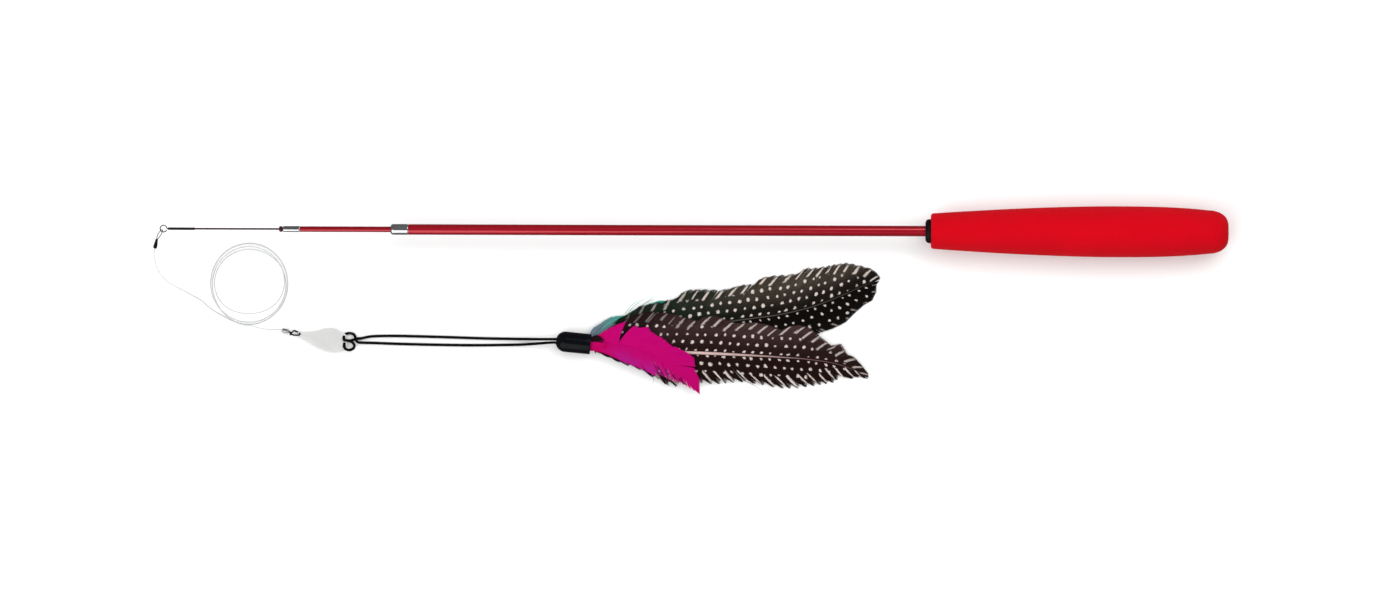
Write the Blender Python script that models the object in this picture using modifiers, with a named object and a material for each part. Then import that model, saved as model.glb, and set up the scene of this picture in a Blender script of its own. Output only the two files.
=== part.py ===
"""Telescopic cat teaser wand: foam grip, three sections, swivels, line and feather lure.

The wand lies along X with its tip at -X. Its lure lies beside it on the floor, which is z = 0.
Points are first given in millimetres from the butt of the grip, and one empty then shifts the
whole wand so that its origin is under the middle of its box.
"""

import math

import bmesh
import bpy
import numpy as np
from mathutils import Vector

MM = 0.001

# Clearances
SEAT = 0.15  # between small metal pieces that are pressed or glued together
FIT = 0.3  # between a soft or moulded piece and what it holds
RUN = 0.2  # between sliding or turning pieces
CRIMP = 0.075  # between a thin sleeve and the rod that it grips

# Foam grip
GRIP_RADIUS = 14.05
GRIP_LENGTH = 163.6
GRIP_FRONT_RADIUS = 9.8
GRIP_FRONT_TAPER = 1.65  # how late the grip narrows from its belly to its front
GRIP_BELLY_FROM_BUTT = 65.0
GRIP_BUTT_TAPER = 3.0
GRIP_BUTT_FLAT_RADIUS = 3.0
GRIP_BUTT_CORNER = 11.0
GRIP_FRONT_CORNER = 1.5
GRIP_STEPS = 40
AXIS_HEIGHT = GRIP_RADIUS * math.cos(math.pi / GRIP_STEPS)

# Front collar
COLLAR_RADIUS = 6.6
COLLAR_LENGTH = 4.4
COLLAR_SUNK = 1.4

# Telescopic sections
OUTER_RADIUS = 2.9
OUTER_WALL = 0.5
OUTER_FRONT = 451.0  # from the butt to the tube's front end
OUTER_REAR = 14.0
MIDDLE_RADIUS = 1.55
MIDDLE_WALL = 0.45
MIDDLE_SHOWING = 50.0  # bare tube in front of the outer ferrule at rest
MIDDLE_LENGTH = 372.0
ROD_RADIUS = 0.5
ROD_SHOWING = 46.2
ROD_LENGTH = 352.0

# Ferrules
OUTER_FERRULE_RADIUS = 2.95
OUTER_FERRULE_LENGTH = 9.4
OUTER_FERRULE_SPIGOT = 12.0
OUTER_FERRULE_CHAMFER = 0.9
MIDDLE_FERRULE_RADIUS = 1.66
MIDDLE_FERRULE_LENGTH = 9.0
MIDDLE_FERRULE_SPIGOT = 8.0
MIDDLE_FERRULE_CHAMFER = 0.3
NOSE_RADIUS = 1.62
NOSE_LENGTH = 2.1

# Inner pieces
REAR_BUSH_LENGTH = 9.0
REAR_BUSH_SPIGOT = 6.0
ROD_BUSH_LENGTH = 8.0
ROD_BUSH_DEPTH = 6.0
END_PLUG_FLANGE = 3.0
END_PLUG_SPIGOT = 8.0

# Tip
SLEEVE_RADIUS = 0.72
SLEEVE_LENGTH = 14.9
SLEEVE_OVER_ROD = 9.0
RING_WIRE = 0.6
RING_OUTER = 4.3
RING_SHANK = 4.5
RING_STANDOFF = 0.25

# Top snap and barrel
SNAP_WIRE = 0.45
SNAP_LENGTH = 5.1  # from the ring's wire to the neck
SNAP_HALF_WIDTH = 1.05
SNAP_TILT = 45.0  # the loop's plane against the floor
SNAP_TURN = 30.0  # from straight across the wand, towards its tip
SNAP_SLOPE = 15.0  # downwards
TOP_BARREL_TURN = 13.0
TOP_BARREL_SLOPE = 25.0
TOP_BARREL_LENGTH = 5.4
TOP_BARREL_RADIUS = 1.1
TOP_BARREL_NECK = 0.65
TOP_BARREL_BORE_DEPTH = 1.8

# Nylon line
LINE = 0.5
COIL_STEPS = 24
COIL_RISE = 1.0  # from one turn to the next
COIL_CENTRE = (-538.6, -30.3)
COIL_LOW = 0.4
# Radius at each quarter turn, from the bottom of the first turn to the bottom after the last
COIL_QUARTERS = (22.3, 21.2, 22.4, 21.2, 21.0, 20.2, 19.1, 19.1, 16.3, 19.4, 20.6, 20.2, 22.9)

# Lure fitting
FITTING_START = (-520.3, -55.6)
FITTING_HEIGHT = 1.85
FITTING_TURN = -13.0
LURE_BARREL_RADIUS = 1.05
LURE_BARREL_LENGTH = 3.9
LURE_BARREL_BORE_DEPTH = 2.0
LURE_SNAP_WIRE = 0.8
LURE_SNAP_REACH = 9.95  # from the barrel's face to the snap's nose
LURE_SNAP_HALF_WIDTH = 1.15

# Lure tab
TAB_THICK = 0.6
TAB_EYE = 0.95  # radius
TAB_CORD_HOLE = 1.42  # radius, as the elastic slants through

# Elastic cord
ELASTIC = 1.4
KNOT_STEP = 0.6
STRAND_STEP = 3.2

# Lure cap
CAP_RADIUS = 5.6
CAP_LENGTH = 19.3
CAP_WALL = 1.1
CAP_DOME = 5.2
CAP_BORE_DEPTH = 14.5
CAP_CORD_HOLE = 1.85
CAP_TURN = -5.4
CAP_MOUTH = (-350.5, -62.8)
STOPPER_RADIUS = 3.4
STOPPER_LENGTH = 3.4
PLUG_LENGTH = 8.5
PLUG_RECESS = 1.0
QUILL_GAP = 0.25

# Feathers
VANE_THICK = 0.36
QUILL_IN_CAP = 9.0

TURNED_STEPS = 32
SMALL_STEPS = 20


class Frames:
    """The empties that carry the moving bodies, with where each one stands in millimetres."""

    def __init__(self, collection):
        self.collection = collection
        self.at = {}

    def add(self, name, place, parent=None):
        empty = bpy.data.objects.new(name, None)
        empty.empty_display_size = 0.01
        self.collection.objects.link(empty)
        self.at[name] = Vector(place)
        self.attach(empty, place, parent)
        return empty

    def attach(self, obj, place, parent):
        if parent is None:
            obj.location = Vector(place) * MM
            return
        obj.parent = parent
        obj.location = (Vector(place) - self.at[parent.name]) * MM


def clear_scene():
    for obj in list(bpy.data.objects):
        bpy.data.objects.remove(obj, do_unlink=True)


def new_collection(name):
    collection = bpy.data.collections.new(name)
    bpy.context.scene.collection.children.link(collection)
    return collection


def material(name, colour, roughness, metallic=0.0):
    made = bpy.data.materials.get(name)
    if made:
        return made
    made = bpy.data.materials.new(name)
    made.use_nodes = True
    shader = made.node_tree.nodes["Principled BSDF"]
    shader.inputs["Base Color"].default_value = (*colour, 1.0)
    shader.inputs["Roughness"].default_value = roughness
    shader.inputs["Metallic"].default_value = metallic
    made.diffuse_color = (*colour, 1.0)
    return made


def smooth(mesh):
    mesh.shade_smooth()
    mesh.set_sharp_from_angle(angle=math.radians(35))


def turned(name, profile, steps, collection, finish):
    """A turned piece about local Z, from (radius, height) points that run down its outer side.

    The profile is turned back by half a step, so that a facet and not an edge faces the floor.
    """
    half = math.pi / steps
    mesh = bpy.data.meshes.new(name)
    points = [(r * MM * math.cos(half), r * MM * math.sin(half), h * MM) for r, h in profile]
    on_axis = profile[0][0] == 0 and profile[-1][0] == 0
    edges = [(i, i + 1) for i in range(len(points) - 1)]
    if not on_axis:
        edges.append((len(points) - 1, 0))
    mesh.from_pydata(points, edges, [])
    obj = bpy.data.objects.new(name, mesh)
    collection.objects.link(obj)
    screw = obj.modifiers.new("Turn", "SCREW")
    screw.axis = "Z"
    screw.steps = steps
    screw.render_steps = steps
    screw.use_merge_vertices = True
    screw.merge_threshold = 0.00002
    screw.use_smooth_shade = True
    mesh.materials.append(finish)
    return obj


def wire(name, points, diameter, resolution, collection, finish, cyclic=False):
    curve = bpy.data.curves.new(name, "CURVE")
    curve.dimensions = "3D"
    spline = curve.splines.new("POLY")
    spline.points.add(len(points) - 1)
    for point, place in zip(spline.points, points):
        point.co = (*(Vector(place) * MM), 1.0)
    spline.use_cyclic_u = cyclic
    spline.use_smooth = True
    curve.bevel_depth = diameter / 2 * MM
    curve.bevel_resolution = resolution
    curve.use_fill_caps = True
    curve.materials.append(finish)
    obj = bpy.data.objects.new(name, curve)
    collection.objects.link(obj)
    return obj


def flat(name, outline, holes, thick, collection, finish):
    """A flat piece from a 2D outline and the outlines of its holes."""
    curve = bpy.data.curves.new(name, "CURVE")
    curve.dimensions = "2D"
    curve.fill_mode = "BOTH"
    for loop in [outline, *holes]:
        spline = curve.splines.new("POLY")
        spline.points.add(len(loop) - 1)
        for point, (x, y) in zip(spline.points, loop):
            point.co = (x * MM, y * MM, 0.0, 1.0)
        spline.use_cyclic_u = True
    curve.extrude = thick / 2 * MM
    curve.materials.append(finish)
    obj = bpy.data.objects.new(name, curve)
    collection.objects.link(obj)
    return obj


def cylinder_cutter(name, radius, length, collection):
    mesh = bpy.data.meshes.new(name)
    shape = bmesh.new()
    bmesh.ops.create_cone(
        shape,
        cap_ends=True,
        segments=SMALL_STEPS,
        radius1=radius * MM,
        radius2=radius * MM,
        depth=length * MM,
    )
    shape.to_mesh(mesh)
    shape.free()
    obj = bpy.data.objects.new(name, mesh)
    obj.hide_render = True
    obj.display_type = "WIRE"
    collection.objects.link(obj)
    return obj


def cut(obj, cutter):
    step = obj.modifiers.new("Cut " + cutter.name, "BOOLEAN")
    step.operation = "DIFFERENCE"
    step.object = cutter
    step.solver = "EXACT"


def circle(x, y, radius, count=16):
    return [
        (x + radius * math.cos(2 * math.pi * i / count), y + radius * math.sin(2 * math.pi * i / count))
        for i in range(count)
    ]


def through(points, per_span=12):
    """A smooth curve through points of any dimension, by centripetal Catmull-Rom spans."""
    p = [np.array(q, dtype=float) for q in points]
    p = [2 * p[0] - p[1], *p, 2 * p[-1] - p[-2]]
    made = []
    for a, b, c, d in zip(p, p[1:], p[2:], p[3:]):
        ta = 0.0
        tb = ta + math.sqrt(np.linalg.norm(b - a))
        tc = tb + math.sqrt(np.linalg.norm(c - b))
        td = tc + math.sqrt(np.linalg.norm(d - c))
        for t in np.linspace(tb, tc, per_span, endpoint=False):
            ab = (tb - t) / (tb - ta) * a + (t - ta) / (tb - ta) * b
            bc = (tc - t) / (tc - tb) * b + (t - tb) / (tc - tb) * c
            cd = (td - t) / (td - tc) * c + (t - tc) / (td - tc) * d
            abc = (tc - t) / (tc - ta) * ab + (t - ta) / (tc - ta) * bc
            bcd = (td - t) / (td - tb) * bc + (t - tb) / (td - tb) * cd
            made.append((tc - t) / (tc - tb) * abc + (t - tb) / (tc - tb) * bcd)
    made.append(p[-2])
    return np.array(made)


def spaced(curve, spacing):
    """The curve's points again, at an even spacing."""
    run = np.concatenate([[0.0], np.cumsum(np.linalg.norm(np.diff(curve, axis=0), axis=1))])
    count = max(2, round(run[-1] / spacing) + 1)
    at = np.linspace(0.0, run[-1], count)
    return np.stack([np.interp(at, run, curve[:, k]) for k in range(curve.shape[1])], axis=1)


def length_of(points):
    return float(np.linalg.norm(np.diff(np.array(points), axis=0), axis=1).sum())


def least_gap(points, diameter, apart):
    """The least gap of a tube to itself, among points that are more than apart along it."""
    dense = spaced(np.array(points), diameter / 3)
    run = np.concatenate([[0.0], np.cumsum(np.linalg.norm(np.diff(dense, axis=0), axis=1))])
    least = math.inf
    for i in range(len(dense)):
        far = run - run[i] > apart
        if far.any():
            least = min(least, float(np.linalg.norm(dense[far] - dense[i], axis=1).min()))
    return least - diameter


def lay_on_axis(obj, frames, parent):
    """Lays a turned piece along the wand, so that its heights are distances from the butt."""
    obj.rotation_euler = (0.0, -math.pi / 2, 0.0)
    frames.attach(obj, (0.0, 0.0, AXIS_HEIGHT), parent)


def grip_profile():
    belly = GRIP_BELLY_FROM_BUTT
    front = GRIP_LENGTH
    even = front - GRIP_FRONT_CORNER
    outer = []
    for i in range(7):
        turn = math.pi / 2 * i / 6
        radius = GRIP_FRONT_RADIUS - GRIP_FRONT_CORNER * (1 - math.sin(turn))
        outer.append((radius, front - GRIP_FRONT_CORNER * (1 - math.cos(turn))))
    for i in range(1, 15):
        share = i / 14
        swell = (1 - share) ** GRIP_FRONT_TAPER
        radius = GRIP_RADIUS - (GRIP_RADIUS - GRIP_FRONT_RADIUS) * swell
        outer.append((radius, even + (belly - even) * share))
    shoulder = GRIP_RADIUS - 2.1
    for i in range(1, 7):
        share = i / 6
        radius = GRIP_RADIUS - (GRIP_RADIUS - shoulder) * share**GRIP_BUTT_TAPER
        outer.append((radius, belly + (GRIP_BUTT_CORNER - belly) * share))
    drop = shoulder - GRIP_BUTT_FLAT_RADIUS
    for i in range(1, 9):
        turn = math.pi / 2 * i / 8
        radius = GRIP_BUTT_FLAT_RADIUS + drop * math.cos(turn) ** 0.8
        outer.append((radius if i < 8 else GRIP_BUTT_FLAT_RADIUS, GRIP_BUTT_CORNER * (1 - math.sin(turn))))
    bore = OUTER_RADIUS + FIT
    bottom = OUTER_REAR - END_PLUG_FLANGE - FIT
    recess = COLLAR_RADIUS + FIT
    floor = GRIP_LENGTH - COLLAR_SUNK - FIT
    inner = [(0.0, bottom), (bore, bottom), (bore, floor), (recess, floor), (recess, GRIP_LENGTH)]
    return [*inner, *outer, (0.0, 0.0)]


def make_handle(parts, frames, root):
    red_foam = material("red_foam", (0.70, 0.008, 0.02), 0.9)
    black = material("black_moulding", (0.015, 0.015, 0.016), 0.45)
    red_metal = material("red_anodised_aluminium", (0.55, 0.012, 0.045), 0.22, 1.0)
    silver = material("bright_ferrule_metal", (0.72, 0.72, 0.74), 0.2, 1.0)

    grip = turned("foam_grip", grip_profile(), GRIP_STEPS, parts, red_foam)
    lay_on_axis(grip, frames, root)

    back = GRIP_LENGTH - COLLAR_SUNK
    edge = 1.0
    hole = OUTER_RADIUS + FIT
    line = [(hole, back + COLLAR_LENGTH)]
    for i in range(5):
        turn = math.pi / 2 * i / 4
        radius = COLLAR_RADIUS - edge + edge * math.sin(turn)
        line.append((radius, back + COLLAR_LENGTH - edge * (1 - math.cos(turn))))
    line += [(COLLAR_RADIUS, back), (hole, back)]
    collar = turned("front_collar", line, TURNED_STEPS, parts, black)
    lay_on_axis(collar, frames, root)

    bore = OUTER_RADIUS - OUTER_WALL
    line = [(OUTER_RADIUS, OUTER_FRONT), (OUTER_RADIUS, OUTER_REAR), (bore, OUTER_REAR), (bore, OUTER_FRONT)]
    tube = turned("outer_tube", line, TURNED_STEPS, parts, red_metal)
    lay_on_axis(tube, frames, root)

    hole = MIDDLE_RADIUS + RUN
    low = OUTER_FRONT + SEAT
    high = low + OUTER_FERRULE_LENGTH
    slope = OUTER_FERRULE_CHAMFER
    line = [
        (hole, high),
        (OUTER_FERRULE_RADIUS - slope, high),
        (OUTER_FERRULE_RADIUS - slope * 0.3, high - slope * 0.4),
        (OUTER_FERRULE_RADIUS, high - slope * 1.2),
        (OUTER_FERRULE_RADIUS, low),
        (bore - SEAT, low),
        (bore - SEAT, OUTER_FRONT - OUTER_FERRULE_SPIGOT),
        (hole, OUTER_FRONT - OUTER_FERRULE_SPIGOT),
    ]
    ferrule = turned("outer_ferrule", line, TURNED_STEPS, parts, silver)
    lay_on_axis(ferrule, frames, root)

    line = [
        (0.0, OUTER_REAR + END_PLUG_SPIGOT),
        (bore - SEAT, OUTER_REAR + END_PLUG_SPIGOT),
        (bore - SEAT, OUTER_REAR - SEAT),
        (OUTER_RADIUS, OUTER_REAR - SEAT),
        (OUTER_RADIUS, OUTER_REAR - END_PLUG_FLANGE),
        (0.0, OUTER_REAR - END_PLUG_FLANGE),
    ]
    plug = turned("outer_tube_end_plug", line, TURNED_STEPS, parts, black)
    lay_on_axis(plug, frames, root)


def middle_front():
    return OUTER_FRONT + SEAT + OUTER_FERRULE_LENGTH + MIDDLE_SHOWING


def make_middle_section(parts, frames, carrier):
    red_metal = material("red_anodised_aluminium", (0.55, 0.012, 0.045), 0.22, 1.0)
    silver = material("bright_ferrule_metal", (0.72, 0.72, 0.74), 0.2, 1.0)
    dark = material("dark_nose_metal", (0.05, 0.04, 0.045), 0.3, 1.0)
    nylon = material("white_nylon", (0.75, 0.74, 0.70), 0.5)

    front = middle_front()
    rear = front - MIDDLE_LENGTH
    bore = MIDDLE_RADIUS - MIDDLE_WALL
    line = [(MIDDLE_RADIUS, front), (MIDDLE_RADIUS, rear), (bore, rear), (bore, front)]
    tube = turned("middle_tube", line, TURNED_STEPS, parts, red_metal)
    lay_on_axis(tube, frames, carrier)

    hole = ROD_RADIUS + RUN
    low = front + SEAT
    high = low + MIDDLE_FERRULE_LENGTH
    line = [
        (hole, high),
        (MIDDLE_FERRULE_RADIUS - MIDDLE_FERRULE_CHAMFER, high),
        (MIDDLE_FERRULE_RADIUS, high - MIDDLE_FERRULE_CHAMFER),
        (MIDDLE_FERRULE_RADIUS, low),
        (bore - SEAT, low),
        (bore - SEAT, front - MIDDLE_FERRULE_SPIGOT),
        (hole, front - MIDDLE_FERRULE_SPIGOT),
    ]
    ferrule = turned("middle_ferrule", line, TURNED_STEPS, parts, silver)
    lay_on_axis(ferrule, frames, carrier)

    base = high + SEAT
    line = [(hole, base + NOSE_LENGTH)]
    for i in range(7):
        turn = math.pi / 2 * i / 6
        radius = hole + 0.25 + (NOSE_RADIUS - hole - 0.25) * math.sin(turn)
        line.append((radius, base + NOSE_LENGTH * (0.35 + 0.65 * math.cos(turn))))
    line += [(NOSE_RADIUS - 0.15, base), (hole, base)]
    nose = turned("middle_nose_bush", line, TURNED_STEPS, parts, dark)
    lay_on_axis(nose, frames, carrier)

    wide = OUTER_RADIUS - OUTER_WALL - RUN
    top = rear - SEAT
    line = [
        (0.0, rear + REAR_BUSH_SPIGOT),
        (bore - SEAT, rear + REAR_BUSH_SPIGOT),
        (bore - SEAT, top),
        (wide, top),
        (wide, top - REAR_BUSH_LENGTH),
        (0.0, top - REAR_BUSH_LENGTH),
    ]
    bush = turned("middle_friction_bush", line, TURNED_STEPS, parts, nylon)
    lay_on_axis(bush, frames, carrier)
    room = top - REAR_BUSH_LENGTH - (OUTER_REAR + END_PLUG_SPIGOT)
    reach = OUTER_FRONT - OUTER_FERRULE_SPIGOT - top
    print("middle slide: in by", min(room, MIDDLE_SHOWING), "or out by", reach, "mm")


def rod_front():
    return middle_front() + 2 * SEAT + MIDDLE_FERRULE_LENGTH + NOSE_LENGTH + ROD_SHOWING


def make_tip_section(parts, frames, carrier):
    red_metal = material("dark_red_rod", (0.20, 0.012, 0.02), 0.3, 1.0)
    black = material("black_sleeve", (0.012, 0.012, 0.013), 0.5)
    grey = material("grey_wire", (0.35, 0.35, 0.36), 0.3, 1.0)
    nylon = material("white_nylon", (0.75, 0.74, 0.70), 0.5)

    # The sleeve starts where the bare rod ends, and the rod runs on inside it
    showing = rod_front()
    end = showing + SLEEVE_OVER_ROD
    rear = showing - ROD_LENGTH
    line = [(0.0, end), (ROD_RADIUS, end), (ROD_RADIUS, rear), (0.0, rear)]
    rod = turned("tip_rod", line, SMALL_STEPS, parts, red_metal)
    lay_on_axis(rod, frames, carrier)

    hole = ROD_RADIUS + CRIMP
    top = showing + SLEEVE_LENGTH
    line = [
        (hole, top),
        (SLEEVE_RADIUS, top),
        (SLEEVE_RADIUS, showing),
        (hole, showing),
    ]
    cover = turned("tip_sleeve", line, SMALL_STEPS, parts, black)
    lay_on_axis(cover, frames, carrier)

    centre = ring_centre()
    radius = (RING_OUTER - RING_WIRE) / 2
    mouth = RING_OUTER / 2 + RING_STANDOFF
    # The ring's wire comes out of the sleeve, goes round, and ends beside its own shank
    shank = [(mouth + RING_SHANK, 0.0), (mouth + 0.2, 0.0), (mouth - 0.3, 0.05)]
    count = 26
    first = math.radians(22)
    last = math.radians(338)
    turns = [first + (last - first) * i / count for i in range(count + 1)]
    eye = [(radius * math.cos(a), radius * math.sin(a)) for a in turns]
    points = [(centre[0] + x, y, AXIS_HEIGHT) for x, y in shank + eye]
    ring = wire("tip_ring", points, RING_WIRE, 2, parts, grey)
    frames.attach(ring, (0.0, 0.0, 0.0), carrier)

    bore = MIDDLE_RADIUS - MIDDLE_WALL
    hole = ROD_RADIUS + CRIMP
    top = rear + ROD_BUSH_DEPTH
    line = [
        (0.0, rear - SEAT),
        (hole, rear - SEAT),
        (hole, top),
        (bore - RUN, top),
        (bore - RUN, top - ROD_BUSH_LENGTH),
        (0.0, top - ROD_BUSH_LENGTH),
    ]
    bush = turned("rod_friction_bush", line, SMALL_STEPS, parts, nylon)
    lay_on_axis(bush, frames, carrier)
    middle_rear = middle_front() - MIDDLE_LENGTH
    room = top - ROD_BUSH_LENGTH - (middle_rear + REAR_BUSH_SPIGOT)
    reach = middle_front() - MIDDLE_FERRULE_SPIGOT - top
    print("tip slide: in by", min(room, ROD_SHOWING), "or out by", reach, "mm")


def ring_centre():
    return (-(rod_front() + SLEEVE_LENGTH + RING_OUTER / 2 + RING_STANDOFF), 0.0, AXIS_HEIGHT)


def aim(obj, direction):
    """Turns a piece so that its local Z runs along a direction and its local X stays upright."""
    way = Vector(direction).normalized()
    obj.rotation_euler = (0.0, math.acos(way.z), math.atan2(way.y, way.x))


def heading(turn, slope):
    """Axes of a fitting that hangs from the tip: along it, sideways and up."""
    turn = math.radians(turn)
    slope = math.radians(slope)
    flat_way = Vector((-math.sin(turn), -math.cos(turn), 0.0))
    along = flat_way * math.cos(slope) - Vector((0.0, 0.0, 1.0)) * math.sin(slope)
    side = flat_way.cross(Vector((0.0, 0.0, 1.0)))
    return along, side, side.cross(along)


def top_fitting():
    """Where the snap's neck is, and the directions of the snap and of the barrel below it."""
    snap = heading(SNAP_TURN, SNAP_SLOPE)
    barrel = heading(TOP_BARREL_TURN, TOP_BARREL_SLOPE)
    radius = (RING_OUTER - RING_WIRE) / 2
    crossing = Vector(ring_centre()) + Vector((-0.65, -0.76, 0.0)) * radius
    return crossing, snap, barrel, crossing + snap[0] * SNAP_LENGTH


def make_top_fitting(parts, frames, hitch, spin):
    grey = material("grey_wire", (0.35, 0.35, 0.36), 0.3, 1.0)
    black = material("black_metal", (0.014, 0.014, 0.015), 0.35, 0.6)
    crossing, snap, barrel, neck = top_fitting()
    along, side, up = snap
    tilt = math.radians(SNAP_TILT)
    across = side * math.cos(tilt) + up * math.sin(tilt)
    out = up * math.cos(tilt) - side * math.sin(tilt)
    half = SNAP_HALF_WIDTH
    # Out of the barrel, round the ring's wire, and back over its own neck
    loop = [
        (SNAP_LENGTH - 0.9, half * 0.55, 0.0),
        (SNAP_LENGTH * 0.5, half, 0.0),
        (0.8, half * 0.9, 0.0),
        (-0.55, half * 0.55, 0.0),
        (-0.95, 0.0, 0.0),
        (-0.55, -half * 0.55, 0.0),
        (0.8, -half * 0.9, 0.0),
        (SNAP_LENGTH * 0.5, -half, 0.0),
        (SNAP_LENGTH - 0.9, -half * 0.5, 0.2),
        (SNAP_LENGTH - 0.2, 0.0, 0.62),
        (SNAP_LENGTH - 0.1, 0.45, 0.62),
    ]
    inside = neck + barrel[0] * (TOP_BARREL_BORE_DEPTH - RUN)
    route = [inside, neck + barrel[0] * 0.3, neck - along * 0.1]
    route += [crossing + along * a + across * b + out * c for a, b, c in loop]
    points = spaced(through(route), 0.42)
    obj = wire("top_snap", points, SNAP_WIRE, 1, parts, grey)
    frames.attach(obj, (0.0, 0.0, 0.0), hitch)

    bore = SNAP_WIRE / 2 + RUN
    length = TOP_BARREL_LENGTH
    line = [
        (0.0, length - TOP_BARREL_BORE_DEPTH),
        (bore, length - TOP_BARREL_BORE_DEPTH),
        (bore, length),
        (TOP_BARREL_NECK, length),
        (TOP_BARREL_NECK * 1.12, length * 0.8),
        (TOP_BARREL_RADIUS * 0.92, length * 0.42),
        (TOP_BARREL_RADIUS, length * 0.18),
        (TOP_BARREL_RADIUS * 0.97, length * 0.06),
        (TOP_BARREL_RADIUS * 0.8, 0.0),
        (0.0, 0.0),
    ]
    bell = turned("top_swivel_barrel", line, SMALL_STEPS, parts, black)
    aim(bell, -barrel[0])
    frames.attach(bell, top_barrel_end(), spin)


def top_barrel_end():
    """The middle of the barrel's wide face, where the line comes out."""
    barrel, neck = top_fitting()[2:]
    return neck + barrel[0] * (RUN + TOP_BARREL_LENGTH)


# The line's lead: from the top barrel down to the floor and round to the coil
LEAD = [
    (-590.7, -12.1, 9.8),
    (-590.8, -15.0, 8.5),
    (-589.9, -19.4, 6.7),
    (-587.7, -24.4, 4.7),
    (-583.8, -28.8, 3.0),
    (-579.1, -31.8, 1.9),
    (-574.8, -34.0, 1.2),
    (-570.9, -36.1, 0.75),
    (-565.4, -39.1, 0.45),
    (-561.0, -42.8, 0.34),
    (-556.9, -45.8, 0.34),
    (-551.8, -48.6, 0.35),
    (-547.7, -50.6, 0.37),
    (-543.4, -52.1, 0.39),
    (-539.7, -52.6, 0.4),
    (-538.9, -52.6, 0.4),
]

# The line's tail: from the coil's last turn down to the lure fitting
TAIL = [
    (-538.3, -53.2, 3.4),
    (-537.5, -53.25, 3.38),
    (-535.0, -53.9, 3.17),
    (-532.1, -54.7, 2.8),
    (-528.0, -55.2, 2.3),
    (-524.6, -55.25, 1.98),
    (-521.6, -55.35, 1.86),
    (-520.6, -55.53, 1.85),
]


def coil_route():
    """The coil's turns: the radius follows its quarter marks and the height climbs evenly."""
    marks = through([(i, r) for i, r in enumerate(COIL_QUARTERS)])
    turns = (len(COIL_QUARTERS) - 1) / 4
    count = round(turns * COIL_STEPS)
    route = []
    for i in range(count + 1):
        quarter = 4 * turns * i / count
        radius = float(np.interp(quarter, marks[:, 0], marks[:, 1]))
        angle = math.radians(90 * quarter - 90)
        x = COIL_CENTRE[0] + radius * math.cos(angle)
        y = COIL_CENTRE[1] + radius * math.sin(angle)
        route.append((x, y, COIL_LOW + COIL_RISE * quarter / 4))
    return route


def make_line(parts, frames, hitch):
    clear = material("clear_nylon_line", (0.78, 0.80, 0.80), 0.15)
    start = top_barrel_end() + top_fitting()[2][0] * FIT
    lead = through([tuple(start), *LEAD])
    tail = through(TAIL)
    spacing = 2.5 * LINE
    for name, route in (("line_lead", lead), ("line_tail", tail)):
        tube = wire(name, spaced(route, spacing), LINE, 2, parts, clear)
        frames.attach(tube, (0.0, 0.0, 0.0), hitch)
    coil = coil_route()
    tube = wire("line_coil", coil, LINE, 1, parts, clear)
    frames.attach(tube, (0.0, 0.0, 0.0), hitch)
    print("line:", round(length_of(lead) + length_of(coil) + length_of(tail), 1), "mm")
    print("coil: least gap to itself", round(least_gap(coil, LINE, 20 * LINE), 3), "mm")


def fitting_axes():
    turn = math.radians(FITTING_TURN)
    along = Vector((math.cos(turn), math.sin(turn), 0.0))
    side = Vector((-math.sin(turn), math.cos(turn), 0.0))
    return Vector((*FITTING_START, FITTING_HEIGHT)), along, side


def tab_eye():
    start, along, _ = fitting_axes()
    return start + along * (LURE_SNAP_REACH - 0.05)


def make_lure_fitting(parts, frames, hitch, spin):
    silver = material("bright_barrel_metal", (0.60, 0.60, 0.61), 0.25, 1.0)
    black = material("black_metal", (0.014, 0.014, 0.015), 0.35, 0.6)
    start, along, side = fitting_axes()
    bore = LURE_SNAP_WIRE / 2 + RUN
    length = LURE_BARREL_LENGTH
    radius = LURE_BARREL_RADIUS
    line = [
        (0.0, length - LURE_BARREL_BORE_DEPTH),
        (bore, length - LURE_BARREL_BORE_DEPTH),
        (bore, length),
        (radius * 0.72, length),
        (radius * 0.95, length - 0.45),
        (radius, length - 0.9),
        (radius, 0.7),
        (radius * 0.9, 0.2),
        (radius * 0.75, 0.0),
        (0.0, 0.0),
    ]
    barrel = turned("lure_swivel_barrel", line, SMALL_STEPS, parts, silver)
    aim(barrel, along)
    frames.attach(barrel, start, spin)

    reach = LURE_SNAP_REACH
    half = LURE_SNAP_HALF_WIDTH
    up = TAB_THICK / 2 + LURE_SNAP_WIRE / 2 + FIT
    # Out of the barrel, along one leg, through the tab's eye, back, and over its own stem
    loop = [
        (length - LURE_BARREL_BORE_DEPTH + 0.4, 0.0, 0.0),
        (length + 0.3, 0.0, 0.0),
        (length + 1.0, -half * 0.6, 0.05),
        (length + 1.9, -half, 0.25),
        (reach - 2.7, -half, 0.6),
        (reach - 1.75, -half * 0.84, up),
        (reach - 0.8, -half * 0.6, up),
        (reach, 0.0, 0.0),
        (reach - 0.8, half * 0.6, -up),
        (reach - 1.75, half * 0.84, -up),
        (reach - 2.7, half, -0.65),
        (length + 2.8, half * 1.04, -0.2),
        (length + 2.15, half * 0.8, 0.55),
        (length + 1.65, half * 0.1, 1.1),
        (length + 1.15, -half * 0.75, 1.15),
        (length + 0.85, -half * 1.3, 0.75),
    ]
    route = [start + along * a + side * b + Vector((0.0, 0.0, c)) for a, b, c in loop]
    points = spaced(through(route), 0.5)
    snap = wire("lure_snap", points, LURE_SNAP_WIRE, 1, parts, black)
    frames.attach(snap, (0.0, 0.0, 0.0), hitch)
    print("lure snap: least gap to itself", round(least_gap(points, LURE_SNAP_WIRE, 1.9), 3), "mm")


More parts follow.
